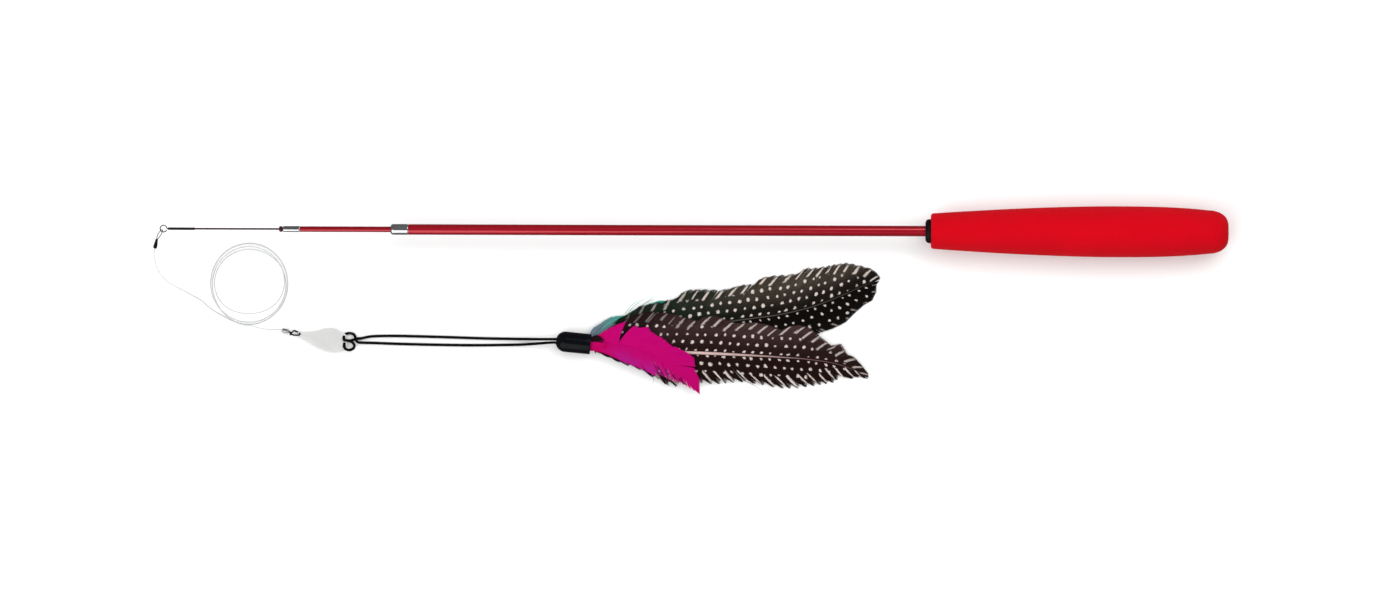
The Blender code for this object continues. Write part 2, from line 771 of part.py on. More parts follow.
# The tab's outline round its eye: narrow at the eye and full at the elastic's end
TAB_OUTLINE = [
    (-1.45, 0.0),
    (-1.05, 1.05),
    (0.2, 1.45),
    (2.6, 1.1),
    (6.9, 1.35),
    (9.2, 1.65),
    (11.3, 2.2),
    (13.5, 2.9),
    (15.7, 3.15),
    (18.2, 3.1),
    (20.2, 2.4),
    (22.3, 1.4),
    (24.4, 0.6),
    (25.8, -0.7),
    (26.3, -2.6),
    (26.35, -5.0),
    (26.1, -7.0),
    (24.7, -8.7),
    (22.0, -9.35),
    (18.5, -9.5),
    (15.7, -9.2),
    (12.8, -8.4),
    (9.1, -6.7),
    (6.2, -5.0),
    (2.5, -2.9),
    (0.5, -1.75),
    (-0.9, -1.15),
]

# The elastic's knot: under the tab, up through one hole, round, over and down through the other
KNOT = [
    (-478.2, -60.1, 0.76),
    (-479.4, -60.2, 0.76),
    (-481.0, -60.8, 0.76),
    (-483.2, -61.3, 0.76),
    (-485.2, -61.5, 0.76),
    (-486.1, -62.4, 0.8),
    (-486.15, -63.6, 1.85),
    (-486.05, -64.9, 3.02),
    (-485.0, -66.1, 3.1),
    (-483.1, -66.4, 2.6),
    (-481.2, -65.6, 2.1),
    (-480.6, -64.0, 1.9),
    (-481.3, -62.6, 2.2),
    (-482.8, -61.6, 2.9),
    (-484.6, -61.2, 3.1),
    (-486.1, -60.95, 3.02),
    (-486.35, -59.8, 1.85),
    (-486.2, -58.6, 0.8),
    (-485.3, -57.6, 0.76),
    (-483.4, -57.2, 0.76),
    (-481.4, -57.6, 0.84),
    (-480.3, -58.8, 1.5),
    (-479.9, -60.3, 2.45),
    (-479.3, -61.6, 2.2),
    (-478.2, -62.2, 1.7),
]
KNOT_HOLES = ((-486.15, -63.6), (-486.35, -59.8))

# The elastic's two strands, from the knot to the stopper in the cap
UPPER_STRAND = [
    (-477.9, -60.08, 0.76),
    (-476.7, -59.95, 0.76),
    (-471.9, -59.0, 0.76),
    (-460.7, -58.6, 0.76),
    (-437.1, -59.0, 0.76),
    (-408.6, -59.8, 0.76),
    (-395.0, -60.0, 0.88),
    (-385.0, -60.1, 1.9),
    (-377.0, -60.15, 4.0),
    (-371.5, -60.1, 5.3),
    (-368.5, -60.2, 5.57),
    (-366.1, -60.42, 5.57),
    (-364.85, -60.54, 5.57),
]
LOWER_STRAND = [
    (-477.9, -62.27, 1.6),
    (-476.7, -62.35, 1.4),
    (-470.8, -62.5, 0.9),
    (-462.0, -62.8, 0.76),
    (-456.0, -63.0, 0.76),
    (-418.1, -63.6, 0.76),
    (-400.0, -63.4, 0.84),
    (-388.0, -63.1, 1.7),
    (-378.0, -62.4, 3.9),
    (-372.0, -61.95, 5.3),
    (-368.7, -62.0, 5.57),
    (-366.2, -62.22, 5.57),
    (-365.02, -62.33, 5.57),
]


def make_tab(parts, frames, carrier):
    white = material("white_translucent_tab", (0.80, 0.79, 0.78), 0.35)
    eye = tab_eye()
    closed = through([*TAB_OUTLINE, TAB_OUTLINE[0]], 4)[:-1]
    outline = [(eye.x + x, eye.y + y) for x, y in closed]
    holes = [circle(eye.x, eye.y, TAB_EYE)]
    holes += [circle(x, y, TAB_CORD_HOLE, 20) for x, y in KNOT_HOLES]
    tab = flat("lure_tab", outline, holes, TAB_THICK, parts, white)
    frames.attach(tab, (0.0, 0.0, FITTING_HEIGHT), carrier)


def make_elastic(parts, frames, carrier):
    black = material("black_elastic", (0.010, 0.010, 0.011), 0.6)
    knot = spaced(through(KNOT), KNOT_STEP)
    pieces = {
        "elastic_knot": (knot, 1),
        "elastic_upper_strand": (spaced(through(UPPER_STRAND), STRAND_STEP), 2),
        "elastic_lower_strand": (spaced(through(LOWER_STRAND), STRAND_STEP), 2),
    }
    for name, (points, resolution) in pieces.items():
        tube = wire(name, points, ELASTIC, resolution, parts, black)
        frames.attach(tube, (0.0, 0.0, 0.0), carrier)
    print("elastic:", round(sum(length_of(points) for points, _ in pieces.values()), 1), "mm")
    print("knot: least gap to itself", round(least_gap(knot, ELASTIC, 4 * ELASTIC), 3), "mm")


def cap_axes():
    turn = math.radians(CAP_TURN)
    out = Vector((math.cos(turn), math.sin(turn), 0.0))
    side = Vector((-math.sin(turn), math.cos(turn), 0.0))
    height = CAP_RADIUS * math.cos(math.pi / TURNED_STEPS)
    return Vector((*CAP_MOUTH, height)), out, side


def in_cap(depth, side_step=0.0, up=0.0):
    """A point in the cap, depth millimetres behind its mouth."""
    mouth, out, side = cap_axes()
    return mouth - out * depth + side * side_step + Vector((0.0, 0.0, up))


def make_cap(parts, cutters, frames, carrier):
    black = material("black_vinyl", (0.016, 0.017, 0.019), 0.3)
    glue = material("amber_glue", (0.55, 0.42, 0.22), 0.4)
    elastic = material("black_elastic", (0.010, 0.010, 0.011), 0.6)
    mouth, out, _ = cap_axes()

    bore = CAP_RADIUS - CAP_WALL
    shoulder = CAP_LENGTH - CAP_DOME
    last = math.acos(CAP_CORD_HOLE / CAP_RADIUS)
    line = []
    for i in range(9):
        turn = last * (1 - i / 8)
        line.append((CAP_RADIUS * math.cos(turn), shoulder + CAP_DOME * math.sin(turn)))
    line += [
        (CAP_RADIUS, 0.45),
        (CAP_RADIUS - 0.3, 0.0),
        (bore, 0.0),
        (bore, CAP_BORE_DEPTH - 1.0),
        (bore - 0.7, CAP_BORE_DEPTH),
        (CAP_CORD_HOLE, CAP_BORE_DEPTH),
    ]
    cap = turned("lure_cap", line, TURNED_STEPS, parts, black)
    aim(cap, -out)
    frames.attach(cap, mouth, carrier)

    low = CAP_BORE_DEPTH - FIT - STOPPER_LENGTH
    line = [(0.0, CAP_BORE_DEPTH - FIT)]
    for i in range(7):
        turn = math.pi / 2 - math.pi * i / 6
        swell = math.cos(turn) ** 0.5
        height = low + STOPPER_LENGTH * (0.5 + 0.5 * math.sin(turn))
        line.append((STOPPER_RADIUS * (0.62 + 0.38 * swell), height))
    line.append((0.0, low))
    stopper = turned("elastic_stopper", line, SMALL_STEPS, parts, elastic)
    aim(stopper, -out)
    frames.attach(stopper, mouth, carrier)

    radius = bore - FIT
    top = PLUG_RECESS + PLUG_LENGTH
    line = [(0.0, top), (radius, top), (radius, PLUG_RECESS), (0.0, PLUG_RECESS)]
    plug = turned("quill_plug", line, TURNED_STEPS, parts, glue)
    aim(plug, -out)
    frames.attach(plug, mouth, carrier)
    for number, feather in enumerate(FEATHERS):
        side_step, up = feather["seat"]
        hole = feather["quill"] + QUILL_GAP
        cutter = cylinder_cutter(f"quill_cutter_{number}", hole, PLUG_LENGTH + 4.0, cutters)
        aim(cutter, out)
        frames.attach(cutter, in_cap(PLUG_RECESS + PLUG_LENGTH / 2, side_step, up), carrier)
        cut(plug, cutter)


# Each feather: its seat in the cap (sideways, up), its quill's radius, its rachis from the mouth
# of the cap, and the reach of its vane square to the rachis, on the left and on the right, given
# as (run from the mouth, reach). The barbs slant forward by an angle that falls towards the tip.
FEATHERS = (
    {
        "name": "teal_feather",
        "colour": (0.06, 0.30, 0.26),
        "seat": (2.9, -0.2),
        "quill": 0.6,
        "rachis": [(4.0, 6.4, 4.6), (8.4, 11.3, 3.1), (13.9, 15.6, 1.9), (24.4, 19.9, 1.1), (40.3, 23.2, 0.8)],
        "left": [(5, 0.8), (9, 3.2), (20, 3.6), (32, 3.0), (42, 1.2)],
        "right": [(5, 0.8), (9, 2.6), (20, 4.4), (32, 4.2), (42, 1.2)],
        "slant": (50, 30),
        "tilt": (0.0, 0.0),
        "splits": [(15, 1, 0.5), (29, 1, 0.5)],
        "stations": 18,
    },
    {
        "name": "upper_guinea_feather",
        "colour": (0.045, 0.040, 0.030),
        "seat": (0.7, -2.2),
        "quill": 0.9,
        "rachis": [
            (8.0, 2.1, 3.2),
            (30.0, 5.7, 2.7),
            (60.0, 10.4, 2.3),
            (90.0, 14.6, 2.0),
            (104.0, 16.6, 1.9),
            (122.0, 21.0, 1.6),
            (137.0, 26.7, 1.2),
            (150.0, 32.5, 0.75),
        ],
        "left": [(8, 3), (14, 9), (26, 15), (44, 20), (64, 20), (84, 20), (104, 21.5), (120, 19), (136, 13), (152, 4)],
        "right": [(8, 3), (14, 8), (34, 13), (60, 16), (90, 17), (112, 17), (128, 14), (142, 9), (152, 3)],
        "slant": (52, 34),
        "tilt": (-0.03, -0.055),
        "splits": [(22, 1, 0.35), (54, 1, 0.25), (77, 1, 0.3), (98, 1, 0.3), (118, -1, 0.3)],
        "stations": 26,
    },
    {
        "name": "lower_guinea_feather",
        "colour": (0.050, 0.022, 0.020),
        "seat": (-2.0, -0.2),
        "quill": 0.9,
        "rachis": [
            (8.0, -3.2, 5.2),
            (30.0, -4.3, 4.8),
            (58.0, -4.6, 4.2),
            (82.0, -5.6, 3.6),
            (104.0, -6.8, 3.0),
            (120.0, -8.0, 2.5),
            (136.0, -10.6, 1.9),
            (149.0, -15.2, 1.2),
        ],
        "left": [(2, 2.5), (8, 9), (20, 17), (36, 18.5), (54, 20.5), (74, 18), (94, 17), (110, 16), (126, 10), (142, 6), (152, 2)],
        "right": [(2, 2), (8, 5.5), (20, 10.5), (40, 15.5), (60, 14.5), (84, 16), (104, 15.5), (120, 11), (136, 6), (152, 2)],
        "slant": (48, 30),
        "tilt": (-0.02, -0.11),
        "splits": [(44, 1, 0.3), (66, 1, 0.3), (88, 1, 0.4), (106, 1, 0.3), (124, 1, 0.5), (130, -1, 0.4), (70, -1, 0.2)],
        "stations": 26,
    },
    {
        "name": "magenta_feather",
        "colour": (0.60, 0.0, 0.20),
        "seat": (0.3, 2.2),
        "quill": 0.6,
        "rachis": [
            (10.6, 0.7, 7.7),
            (24.4, -1.5, 7.2),
            (39.2, -8.1, 6.6),
            (50.2, -16.4, 6.0),
            (58.5, -26.0, 5.2),
        ],
        "left": [(1, 2), (5, 7), (12, 12.5), (20, 15), (30, 13), (40, 10), (52, 7), (66, 1.5)],
        "right": [(1, 1.5), (5, 4), (14, 7), (26, 9.5), (40, 9), (52, 6.5), (66, 1.5)],
        "slant": (52, 28),
        "tilt": (-0.02, -0.03),
        "splits": [(10, 1, 0.75), (47, 1, 0.3), (48, -1, 0.35)],
        "stations": 20,
    },
)
RACHIS_TIP_RADIUS = 0.24
SPLIT_HALF = 1.3
VANE_CROWN = 0.25
HALF_SECTION = 7


def vane_reach(table, splits, side, run):
    marks = through(table, 6)
    reach = float(np.interp(run, marks[:, 0], marks[:, 1]))
    for at, split_side, depth in splits:
        if split_side == side:
            reach *= 1 - depth * max(0.0, 1 - abs(run - at) / SPLIT_HALF)
    return reach


def feather_sections(feather):
    """Rings of points along a feather: round on the quill, then thin with a raised rachis."""
    mouth, out, _ = cap_axes()
    side_step, up = feather["seat"]
    inside = in_cap(QUILL_IN_CAP, side_step, up)
    rim = in_cap(0.0, side_step, up)
    route = [tuple(inside), tuple(in_cap(QUILL_IN_CAP / 2, side_step, up)), tuple(rim)]
    route += [(mouth.x + x, mouth.y + y, z) for x, y, z in feather["rachis"]]
    curve = through(route, 16)
    run = np.concatenate([[0.0], np.cumsum(np.linalg.norm(np.diff(curve, axis=0), axis=1))])
    run -= QUILL_IN_CAP
    end = float(run[-1])
    start = feather["left"][0][0]
    stations = {round(start + (end - start) * i / feather["stations"], 3) for i in range(feather["stations"] + 1)}
    for at, _, _ in feather["splits"]:
        stations = {s for s in stations if abs(s - at) > SPLIT_HALF * 1.3}
        stations |= {at - SPLIT_HALF, float(at), at + SPLIT_HALF}
    quill_stations = [-QUILL_IN_CAP, 0.0]
    rings = []
    for s in [*quill_stations, *sorted(stations)]:
        place = Vector([float(np.interp(s, run, curve[:, k])) for k in range(3)])
        ahead = Vector([float(np.interp(s + 0.8, run, curve[:, k])) for k in range(3)])
        behind = Vector([float(np.interp(s - 0.8, run, curve[:, k])) for k in range(3)])
        along = (ahead - behind).normalized()
        across = Vector((-along.y, along.x, 0.0)).normalized()
        share = min(1.0, max(0.0, (s - start) / (end - start)))
        radius = feather["quill"] + (RACHIS_TIP_RADIUS - feather["quill"]) * share
        if s in quill_stations:
            above = across.cross(along) * -1.0
            ring = []
            for j in range(2 * HALF_SECTION):
                turn = math.pi * (j + 0.5) / HALF_SECTION
                ring.append(place + (across * math.cos(turn) + above * math.sin(turn)) * radius)
            rings.append(ring)
            continue
        first, last = feather["slant"]
        slant = math.radians(first + (last - first) * share)
        top = []
        bottom = []
        for side, table, tilt in ((1, feather["left"], feather["tilt"][0]), (-1, feather["right"], feather["tilt"][1])):
            reach = max(vane_reach(table, feather["splits"], side, s), radius * 1.6)
            barb = along * math.cos(slant) / math.sin(slant) + across * side
            barb.z = tilt
            rim = place + barb * reach
            middle = place + barb * (reach * 0.55) + Vector((0.0, 0.0, VANE_CROWN))
            edge = place + across * (side * radius)
            lift = Vector((0.0, 0.0, VANE_THICK / 2))
            line = [rim + lift, middle + lift, edge + lift]
            under = [rim - lift, middle - lift, edge - lift]
            top.append(line)
            bottom.append(under)
        ridge = Vector((0.0, 0.0, radius))
        ring = top[0] + [place + ridge] + top[1][::-1]
        ring += bottom[1] + [place - ridge * 0.8] + bottom[0][::-1]
        rings.append(ring)
    return rings


def make_feather(feather, parts, frames, carrier):
    """A loft through the feather's rings, with the same diagonals above and below."""
    shape = bmesh.new()
    rings = [[shape.verts.new(p * MM) for p in ring] for ring in feather_sections(feather)]
    count = 2 * HALF_SECTION
    for a, b in zip(rings, rings[1:]):
        for j in range(count):
            k = (j + 1) % count
            if j < HALF_SECTION:
                shape.faces.new((a[j], a[k], b[k]))
                shape.faces.new((a[j], b[k], b[j]))
            else:
                shape.faces.new((a[j], a[k], b[j]))
                shape.faces.new((a[k], b[k], b[j]))
    shape.faces.new(rings[0][::-1])
    shape.faces.new(rings[-1])
    bmesh.ops.recalc_face_normals(shape, faces=shape.faces)
    mesh = bpy.data.meshes.new(feather["name"])
    shape.to_mesh(mesh)
    shape.free()
    smooth(mesh)
    mesh.materials.append(material(feather["name"], feather["colour"], 0.6))
    obj = bpy.data.objects.new(feather["name"], mesh)
    parts.objects.link(obj)
    frames.attach(obj, (0.0, 0.0, 0.0), carrier)


# The free cords, which don't count in the box that the origin is under
CORDS = (
    "line_lead",
    "line_coil",
    "line_tail",
    "elastic_knot",
    "elastic_upper_strand",
    "elastic_lower_strand",
)


def box_of(objects):
    graph = bpy.context.evaluated_depsgraph_get()
    points = []
    for obj in objects:
        evaluated = obj.evaluated_get(graph)
        mesh = evaluated.to_mesh()
        points += [evaluated.matrix_world @ v.co for v in mesh.vertices]
        evaluated.to_mesh_clear()
    points = np.array(points)
    return points.min(axis=0), points.max(axis=0)


def main():
    clear_scene()
    parts = new_collection("cat_teaser_wand")
    cutters = new_collection("cutters")
    frames = Frames(parts)
    root = frames.add("wand", (0.0, 0.0, 0.0))
    middle = frames.add("middle_section", (-middle_front(), 0.0, AXIS_HEIGHT), root)
    tip = frames.add("tip_section", (-rod_front(), 0.0, AXIS_HEIGHT), middle)
    hitch = frames.add("line_hitch", ring_centre(), tip)
    top_spin = frames.add("top_barrel_spin", top_barrel_end(), hitch)
    lure_spin = frames.add("lure_barrel_spin", fitting_axes()[0], hitch)
    lure = frames.add("lure", tab_eye(), hitch)

    make_handle(parts, frames, root)
    make_middle_section(parts, frames, middle)
    make_tip_section(parts, frames, tip)
    make_top_fitting(parts, frames, hitch, top_spin)
    make_line(parts, frames, hitch)
    make_lure_fitting(parts, frames, hitch, lure_spin)
    make_tab(parts, frames, lure)
    make_elastic(parts, frames, lure)
    make_cap(parts, cutters, frames, lure)
    for feather in FEATHERS:
        make_feather(feather, parts, frames, lure)

    bpy.context.view_layer.update()
    solids = [obj for obj in parts.objects if obj.type in {"MESH", "CURVE"} and obj.name not in CORDS]
    low, high = box_of(solids)
    root.location = (-(low[0] + high[0]) / 2, -(low[1] + high[1]) / 2, -low[2])
    bpy.context.view_layer.update()
    for empty in (middle, tip, hitch, top_spin, lure_spin, lure):
        print(empty.name, "at", [round(c, 6) for c in empty.matrix_world.translation])
    print("box", [round(float(c) * 1000, 2) for c in high - low], "mm")


main()
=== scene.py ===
"""Looks of the telescopic cat teaser wand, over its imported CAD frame.

Tables are in millimetres in the frame's own axes: the wand lies along X with its grip at +X, and
the lure lies beside it towards -Y on the floor, which is z = 0.
"""

import math

import bmesh
import bpy
import numpy as np
from bpy.props import FloatProperty, FloatVectorProperty, IntProperty, PointerProperty
from mathutils import Matrix, Vector


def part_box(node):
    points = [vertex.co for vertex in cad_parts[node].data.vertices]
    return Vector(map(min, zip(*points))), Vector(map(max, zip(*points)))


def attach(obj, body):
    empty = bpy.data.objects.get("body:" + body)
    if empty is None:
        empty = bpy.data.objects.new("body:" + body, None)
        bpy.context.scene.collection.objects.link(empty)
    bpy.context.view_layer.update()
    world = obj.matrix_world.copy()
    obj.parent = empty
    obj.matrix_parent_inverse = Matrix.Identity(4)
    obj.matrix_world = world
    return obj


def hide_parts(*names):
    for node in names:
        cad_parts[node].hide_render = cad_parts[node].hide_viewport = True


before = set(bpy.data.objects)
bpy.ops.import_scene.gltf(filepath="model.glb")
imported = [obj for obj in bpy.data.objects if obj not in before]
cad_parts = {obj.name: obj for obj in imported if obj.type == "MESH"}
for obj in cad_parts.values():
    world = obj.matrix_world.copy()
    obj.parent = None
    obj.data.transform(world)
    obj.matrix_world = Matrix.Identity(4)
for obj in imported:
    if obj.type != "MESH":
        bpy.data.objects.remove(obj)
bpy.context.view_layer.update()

bl_info = {
    "name": "Cat teaser wand",
    "version": (1, 0, 0),
    "blender": (4, 5, 0),
    "location": "View3D > Sidebar > Wand",
    "description": "Foam grip, telescopic tubes, line, elastic and feather lure of a cat teaser wand",
    "category": "Object",
}

MM = 0.001
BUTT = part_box("foam_grip")[1].x / MM
AXIS_Y = (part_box("foam_grip")[0].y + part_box("foam_grip")[1].y) / 2 / MM
AXIS_Z = (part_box("foam_grip")[0].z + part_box("foam_grip")[1].z) / 2 / MM


# Sizes and colours that a user would change


class StageLooks(bpy.types.PropertyGroup):
    camera_height: FloatProperty(
        name="Camera height", description="From the floor to the camera", default=8.48, unit="LENGTH"
    )
    lens: FloatProperty(name="Lens", description="Focal length in millimetres", default=400.0)
    roll: FloatProperty(
        name="Roll", description="Turn of the camera about its own axis", default=0.0033, subtype="ANGLE"
    )
    floor_colour: FloatVectorProperty(
        name="Floor", description="Colour of the floor", default=(0.86, 0.86, 0.86), subtype="COLOR"
    )
    key_power: FloatProperty(name="Key light", description="Power of the key softbox in watts", default=9.4)
    air: FloatProperty(name="Air light", description="Strength of the light from all round", default=0.14)


class WandLooks(bpy.types.PropertyGroup):
    foam_colour: FloatVectorProperty(
        name="Foam", description="Colour of the foam grip", default=(0.50, 0.0006, 0.0060), subtype="COLOR"
    )
    foam_pore: FloatProperty(
        name="Foam pores", description="Size of the foam's pores", default=0.0006, unit="LENGTH", precision=5
    )
    tube_colour: FloatVectorProperty(
        name="Tubes",
        description="Colour of the anodised tubes",
        default=(0.39, 0.001, 0.012),
        subtype="COLOR",
    )
    metal_colour: FloatVectorProperty(
        name="Ferrules",
        description="Colour of the bright ferrules",
        default=(0.66, 0.66, 0.67),
        subtype="COLOR",
    )


class CordLooks(bpy.types.PropertyGroup):
    line: FloatProperty(
        name="Line", description="Thickness of the clear line", default=0.0005, unit="LENGTH", precision=5
    )
    elastic: FloatProperty(
        name="Elastic", description="Thickness of the elastic", default=0.0015, unit="LENGTH", precision=5
    )
    braid_pitch: FloatProperty(
        name="Braid pitch",
        description="Length of one turn of the elastic's cover",
        default=0.003,
        unit="LENGTH",
    )


class FeatherLooks(bpy.types.PropertyGroup):
    barb_pitch: FloatProperty(
        name="Barb pitch",
        description="From one barb to the next",
        default=0.00052,
        unit="LENGTH",
        precision=5,
    )
    barb_thick: FloatProperty(
        name="Barb thickness", description="Height of a barb", default=0.00012, unit="LENGTH", precision=5
    )
    spot_pitch: FloatProperty(
        name="Spot pitch", description="From one spot to the next in a row", default=0.0051, unit="LENGTH"
    )
    spot_row: FloatProperty(name="Spot rows", description="From row to row", default=0.0044, unit="LENGTH")
    spot_colour: FloatVectorProperty(
        name="Spots", description="Colour of the spots", default=(0.53, 0.465, 0.425), subtype="COLOR"
    )
    magenta: FloatVectorProperty(
        name="Magenta",
        description="Dye of the short front feather",
        default=(0.41, 0.0, 0.115),
        subtype="COLOR",
    )
    teal: FloatVectorProperty(
        name="Teal", description="Dye of the short back feather", default=(0.045, 0.29, 0.23), subtype="COLOR"
    )
    seed: IntProperty(name="Seed", description="Seed of the barbs' small differences", default=7)


# Wiring of node trees


class Wiring:
    """Adds nodes to a tree, with numbers set on their sockets and sockets linked."""

    def __init__(self, tree):
        self.tree = tree

    def add(self, kind, *inputs, out=0, named=None, **settings):
        node = self.tree.nodes.new(kind)
        for name, value in settings.items():
            setattr(node, name, value)
        for number, value in enumerate(inputs):
            self.put(node.inputs[number], value)
        for name, value in (named or {}).items():
            self.put(node.inputs[name], value)
        return node.outputs[out]

    def put(self, socket, value):
        if isinstance(value, bpy.types.NodeSocket):
            self.tree.links.new(value, socket)
        elif value is not None:
            socket.default_value = value

    def math(self, operation, *values):
        return self.add("ShaderNodeMath", *values, operation=operation)

    def vector(self, operation, *values, out=0):
        return self.add("ShaderNodeVectorMath", *values, operation=operation, out=out)

    def times(self, a, b):
        return self.math("MULTIPLY", a, b)

    def plus(self, a, b):
        return self.math("ADD", a, b)

    def minus(self, a, b):
        return self.math("SUBTRACT", a, b)

    def parted(self, vector):
        """The three numbers of a vector."""
        node = self.tree.nodes.new("ShaderNodeSeparateXYZ")
        self.put(node.inputs[0], vector)
        return node.outputs

    def ramp(self, value, low, high, to_low=0.0, to_high=1.0):
        ends = (low, high, to_low, to_high)
        settings = {"interpolation_type": "SMOOTHSTEP", "clamp": True}
        return self.add("ShaderNodeMapRange", value, *ends, **settings)


class Finish(Wiring):
    """A procedural material round one Principled shader. fixed names sockets, with _ for a space."""

    def __init__(self, name, colour, roughness, **fixed):
        self.material = bpy.data.materials.new(name)
        self.material.use_nodes = True
        super().__init__(self.material.node_tree)
        self.shader = self.tree.nodes["Principled BSDF"]
        self.shader.inputs["Base Color"].default_value = (*colour, 1.0)
        self.shader.inputs["Roughness"].default_value = roughness
        for socket, value in fixed.items():
            self.shader.inputs[socket.replace("_", " ")].default_value = value
        self.material.diffuse_color = (*colour, 1.0)

    def place(self, scale):
        """Object coordinates in units of scale, a length or one for each axis."""
        scales = scale if isinstance(scale, tuple) else (scale,) * 3
        coordinates = self.add("ShaderNodeTexCoord", out=3)
        return self.vector("MULTIPLY", coordinates, tuple(1 / s for s in scales))

    def noise(self, where, detail=3.0, rough=0.55, size=1.0):
        return self.add(
            "ShaderNodeTexNoise", named={"Vector": where, "Scale": size, "Detail": detail, "Roughness": rough}
        )

    def mix(self, share, a, b):
        node = self.tree.nodes.new("ShaderNodeMix")
        node.data_type = "RGBA"
        sockets = [s for s in node.inputs if s.enabled]
        for socket, value in zip(sockets, (share, a, b)):
            self.put(socket, (*value, 1.0) if isinstance(value, tuple) and len(value) == 3 else value)
        return next(s for s in node.outputs if s.enabled)

    def bump(self, height, distance, strength=1.0):
        self.put(
            self.shader.inputs["Normal"],
            self.add("ShaderNodeBump", named={"Strength": strength, "Distance": distance, "Height": height}),
        )

    def colour(self, value):
        self.put(self.shader.inputs["Base Color"], value)
        return self

    def roughness(self, value):
        self.put(self.shader.inputs["Roughness"], value)


def scaled(colour, by):
    return tuple(min(1.0, c * by) for c in colour)


def foam_finish(looks):
    """Matte red foam with fine pores and slow clouds of wear."""
    f = Finish("red_foam", looks.foam_colour, 0.86, Specular_IOR_Level=0.08)
    pores = f.add("ShaderNodeTexVoronoi", named={"Vector": f.place(looks.foam_pore), "Scale": 1.0})
    cloud = f.noise(f.place(0.018), 2.0)
    grain = f.noise(f.place(looks.foam_pore * 1.4), 4.0, 0.7)
    worn = f.ramp(cloud, 0.35, 0.7)
    body = f.mix(worn, scaled(looks.foam_colour, 0.93), tuple(looks.foam_colour))
    f.colour(f.mix(f.ramp(grain, 0.2, 0.8), body, f.mix(0.5, body, (0.55, 0.002, 0.010))))
    f.roughness(f.ramp(grain, 0.2, 0.8, 0.80, 0.93))
    f.bump(f.plus(pores, f.times(grain, 0.6)), 0.00006, 0.55)
    return f.material


def anodised_finish(name, colour):
    """Red anodised tube: long faint drawing marks, and slow clouds in its gloss."""
    f = Finish(name, colour, 0.24, Metallic=0.5, Coat_Weight=0.6, Coat_Roughness=0.1)
    streak = f.noise(f.place((0.08, 0.0004, 0.0004)), 3.0)
    cloud = f.noise(f.place((0.05, 0.004, 0.004)), 2.0)
    f.colour(f.mix(f.ramp(streak, 0.3, 0.7), scaled(colour, 0.95), scaled(colour, 1.05)))
    f.roughness(f.plus(f.ramp(streak, 0.3, 0.7, 0.17, 0.21), f.ramp(cloud, 0.4, 0.8, 0.0, 0.04)))
    return f.material


def metal_finish(name, colour, roughness, ring=0.00012):
    """Bright turned metal: fine rings round the wand's axis and a few faint scratches along it."""
    f = Finish(name, colour, roughness, Metallic=1.0)
    rings = f.noise(f.place((ring, 0.02, 0.02)), 2.0)
    scratch = f.noise(f.place((0.006, 0.0002, 0.0002)), 2.0)
    f.colour(f.mix(f.ramp(scratch, 0.55, 0.75), tuple(colour), scaled(colour, 0.94)))
    f.roughness(f.ramp(rings, 0.3, 0.7, roughness * 0.9, roughness * 1.15))
    return f.material


def moulded_finish(name, colour, roughness, grain=0.0005, coat=0.0, gloss=0.3):
    """Moulded plastic: a fine grain, a slow cloud in the gloss, and light rubbing."""
    f = Finish(name, colour, roughness, Specular_IOR_Level=gloss, Coat_Weight=coat, Coat_Roughness=0.12)
    fine = f.noise(f.place(grain), 3.0)
    cloud = f.noise(f.place(0.006), 2.0)
    f.colour(f.mix(f.ramp(cloud, 0.45, 0.8), tuple(colour), scaled(colour, 1.7)))
    rubbed = f.ramp(cloud, 0.3, 0.8, roughness * 0.85, roughness * 1.2)
    f.roughness(f.plus(rubbed, f.ramp(fine, 0.3, 0.7, 0.0, 0.06)))
    f.bump(fine, 0.000005, 0.3)
    return f.material


def line_finish():
    """Clear nylon line: see-through, a little milky, with faint drawing marks."""
    f = Finish("clear_nylon", (0.80, 0.82, 0.83), 0.16, IOR=1.53, Alpha=0.7)
    marks = f.noise(f.place(0.0015), 2.0)
    f.colour(f.mix(marks, (0.42, 0.43, 0.44), (0.60, 0.61, 0.61)))
    f.roughness(f.ramp(marks, 0.3, 0.7, 0.10, 0.22))
    return f.material


def tab_finish():
    """Milky plastic sheet: slow clouds, fine scuffs, and light that goes a little way in."""
    depth = (0.002, 0.002, 0.002)
    inner = {"Subsurface_Weight": 0.25, "Subsurface_Radius": depth, "Coat_Weight": 0.2}
    f = Finish("milky_sheet", (0.80, 0.79, 0.77), 0.34, Alpha=0.8, **inner)
    cloud = f.noise(f.place(0.007), 3.0)
    scuff = f.noise(f.place((0.0006, 0.006, 0.002)), 3.0)
    f.colour(f.mix(f.ramp(cloud, 0.35, 0.7), (0.595, 0.595, 0.588), (0.625, 0.625, 0.615)))
    f.roughness(f.ramp(scuff, 0.35, 0.75, 0.28, 0.46))
    f.bump(scuff, 0.00002, 0.25)
    return f.material


def elastic_finish():
    """Black braid: matte threads with a dry bloom on their crowns. Its UV map is in millimetres."""
    f = Finish("black_braid", (0.002, 0.002, 0.0022), 0.7, Specular_IOR_Level=0.05)
    where = f.add("ShaderNodeUVMap", uv_map="UVMap")
    thread = f.noise(f.vector("MULTIPLY", where, (3.0, 9.0, 1.0)), 3.0)
    f.colour(f.mix(f.ramp(thread, 0.4, 0.75), (0.0015, 0.0015, 0.0016), (0.005, 0.005, 0.0055)))
    f.roughness(f.ramp(thread, 0.3, 0.7, 0.52, 0.74))
    f.bump(thread, 0.00003, 0.4)
    return f.material


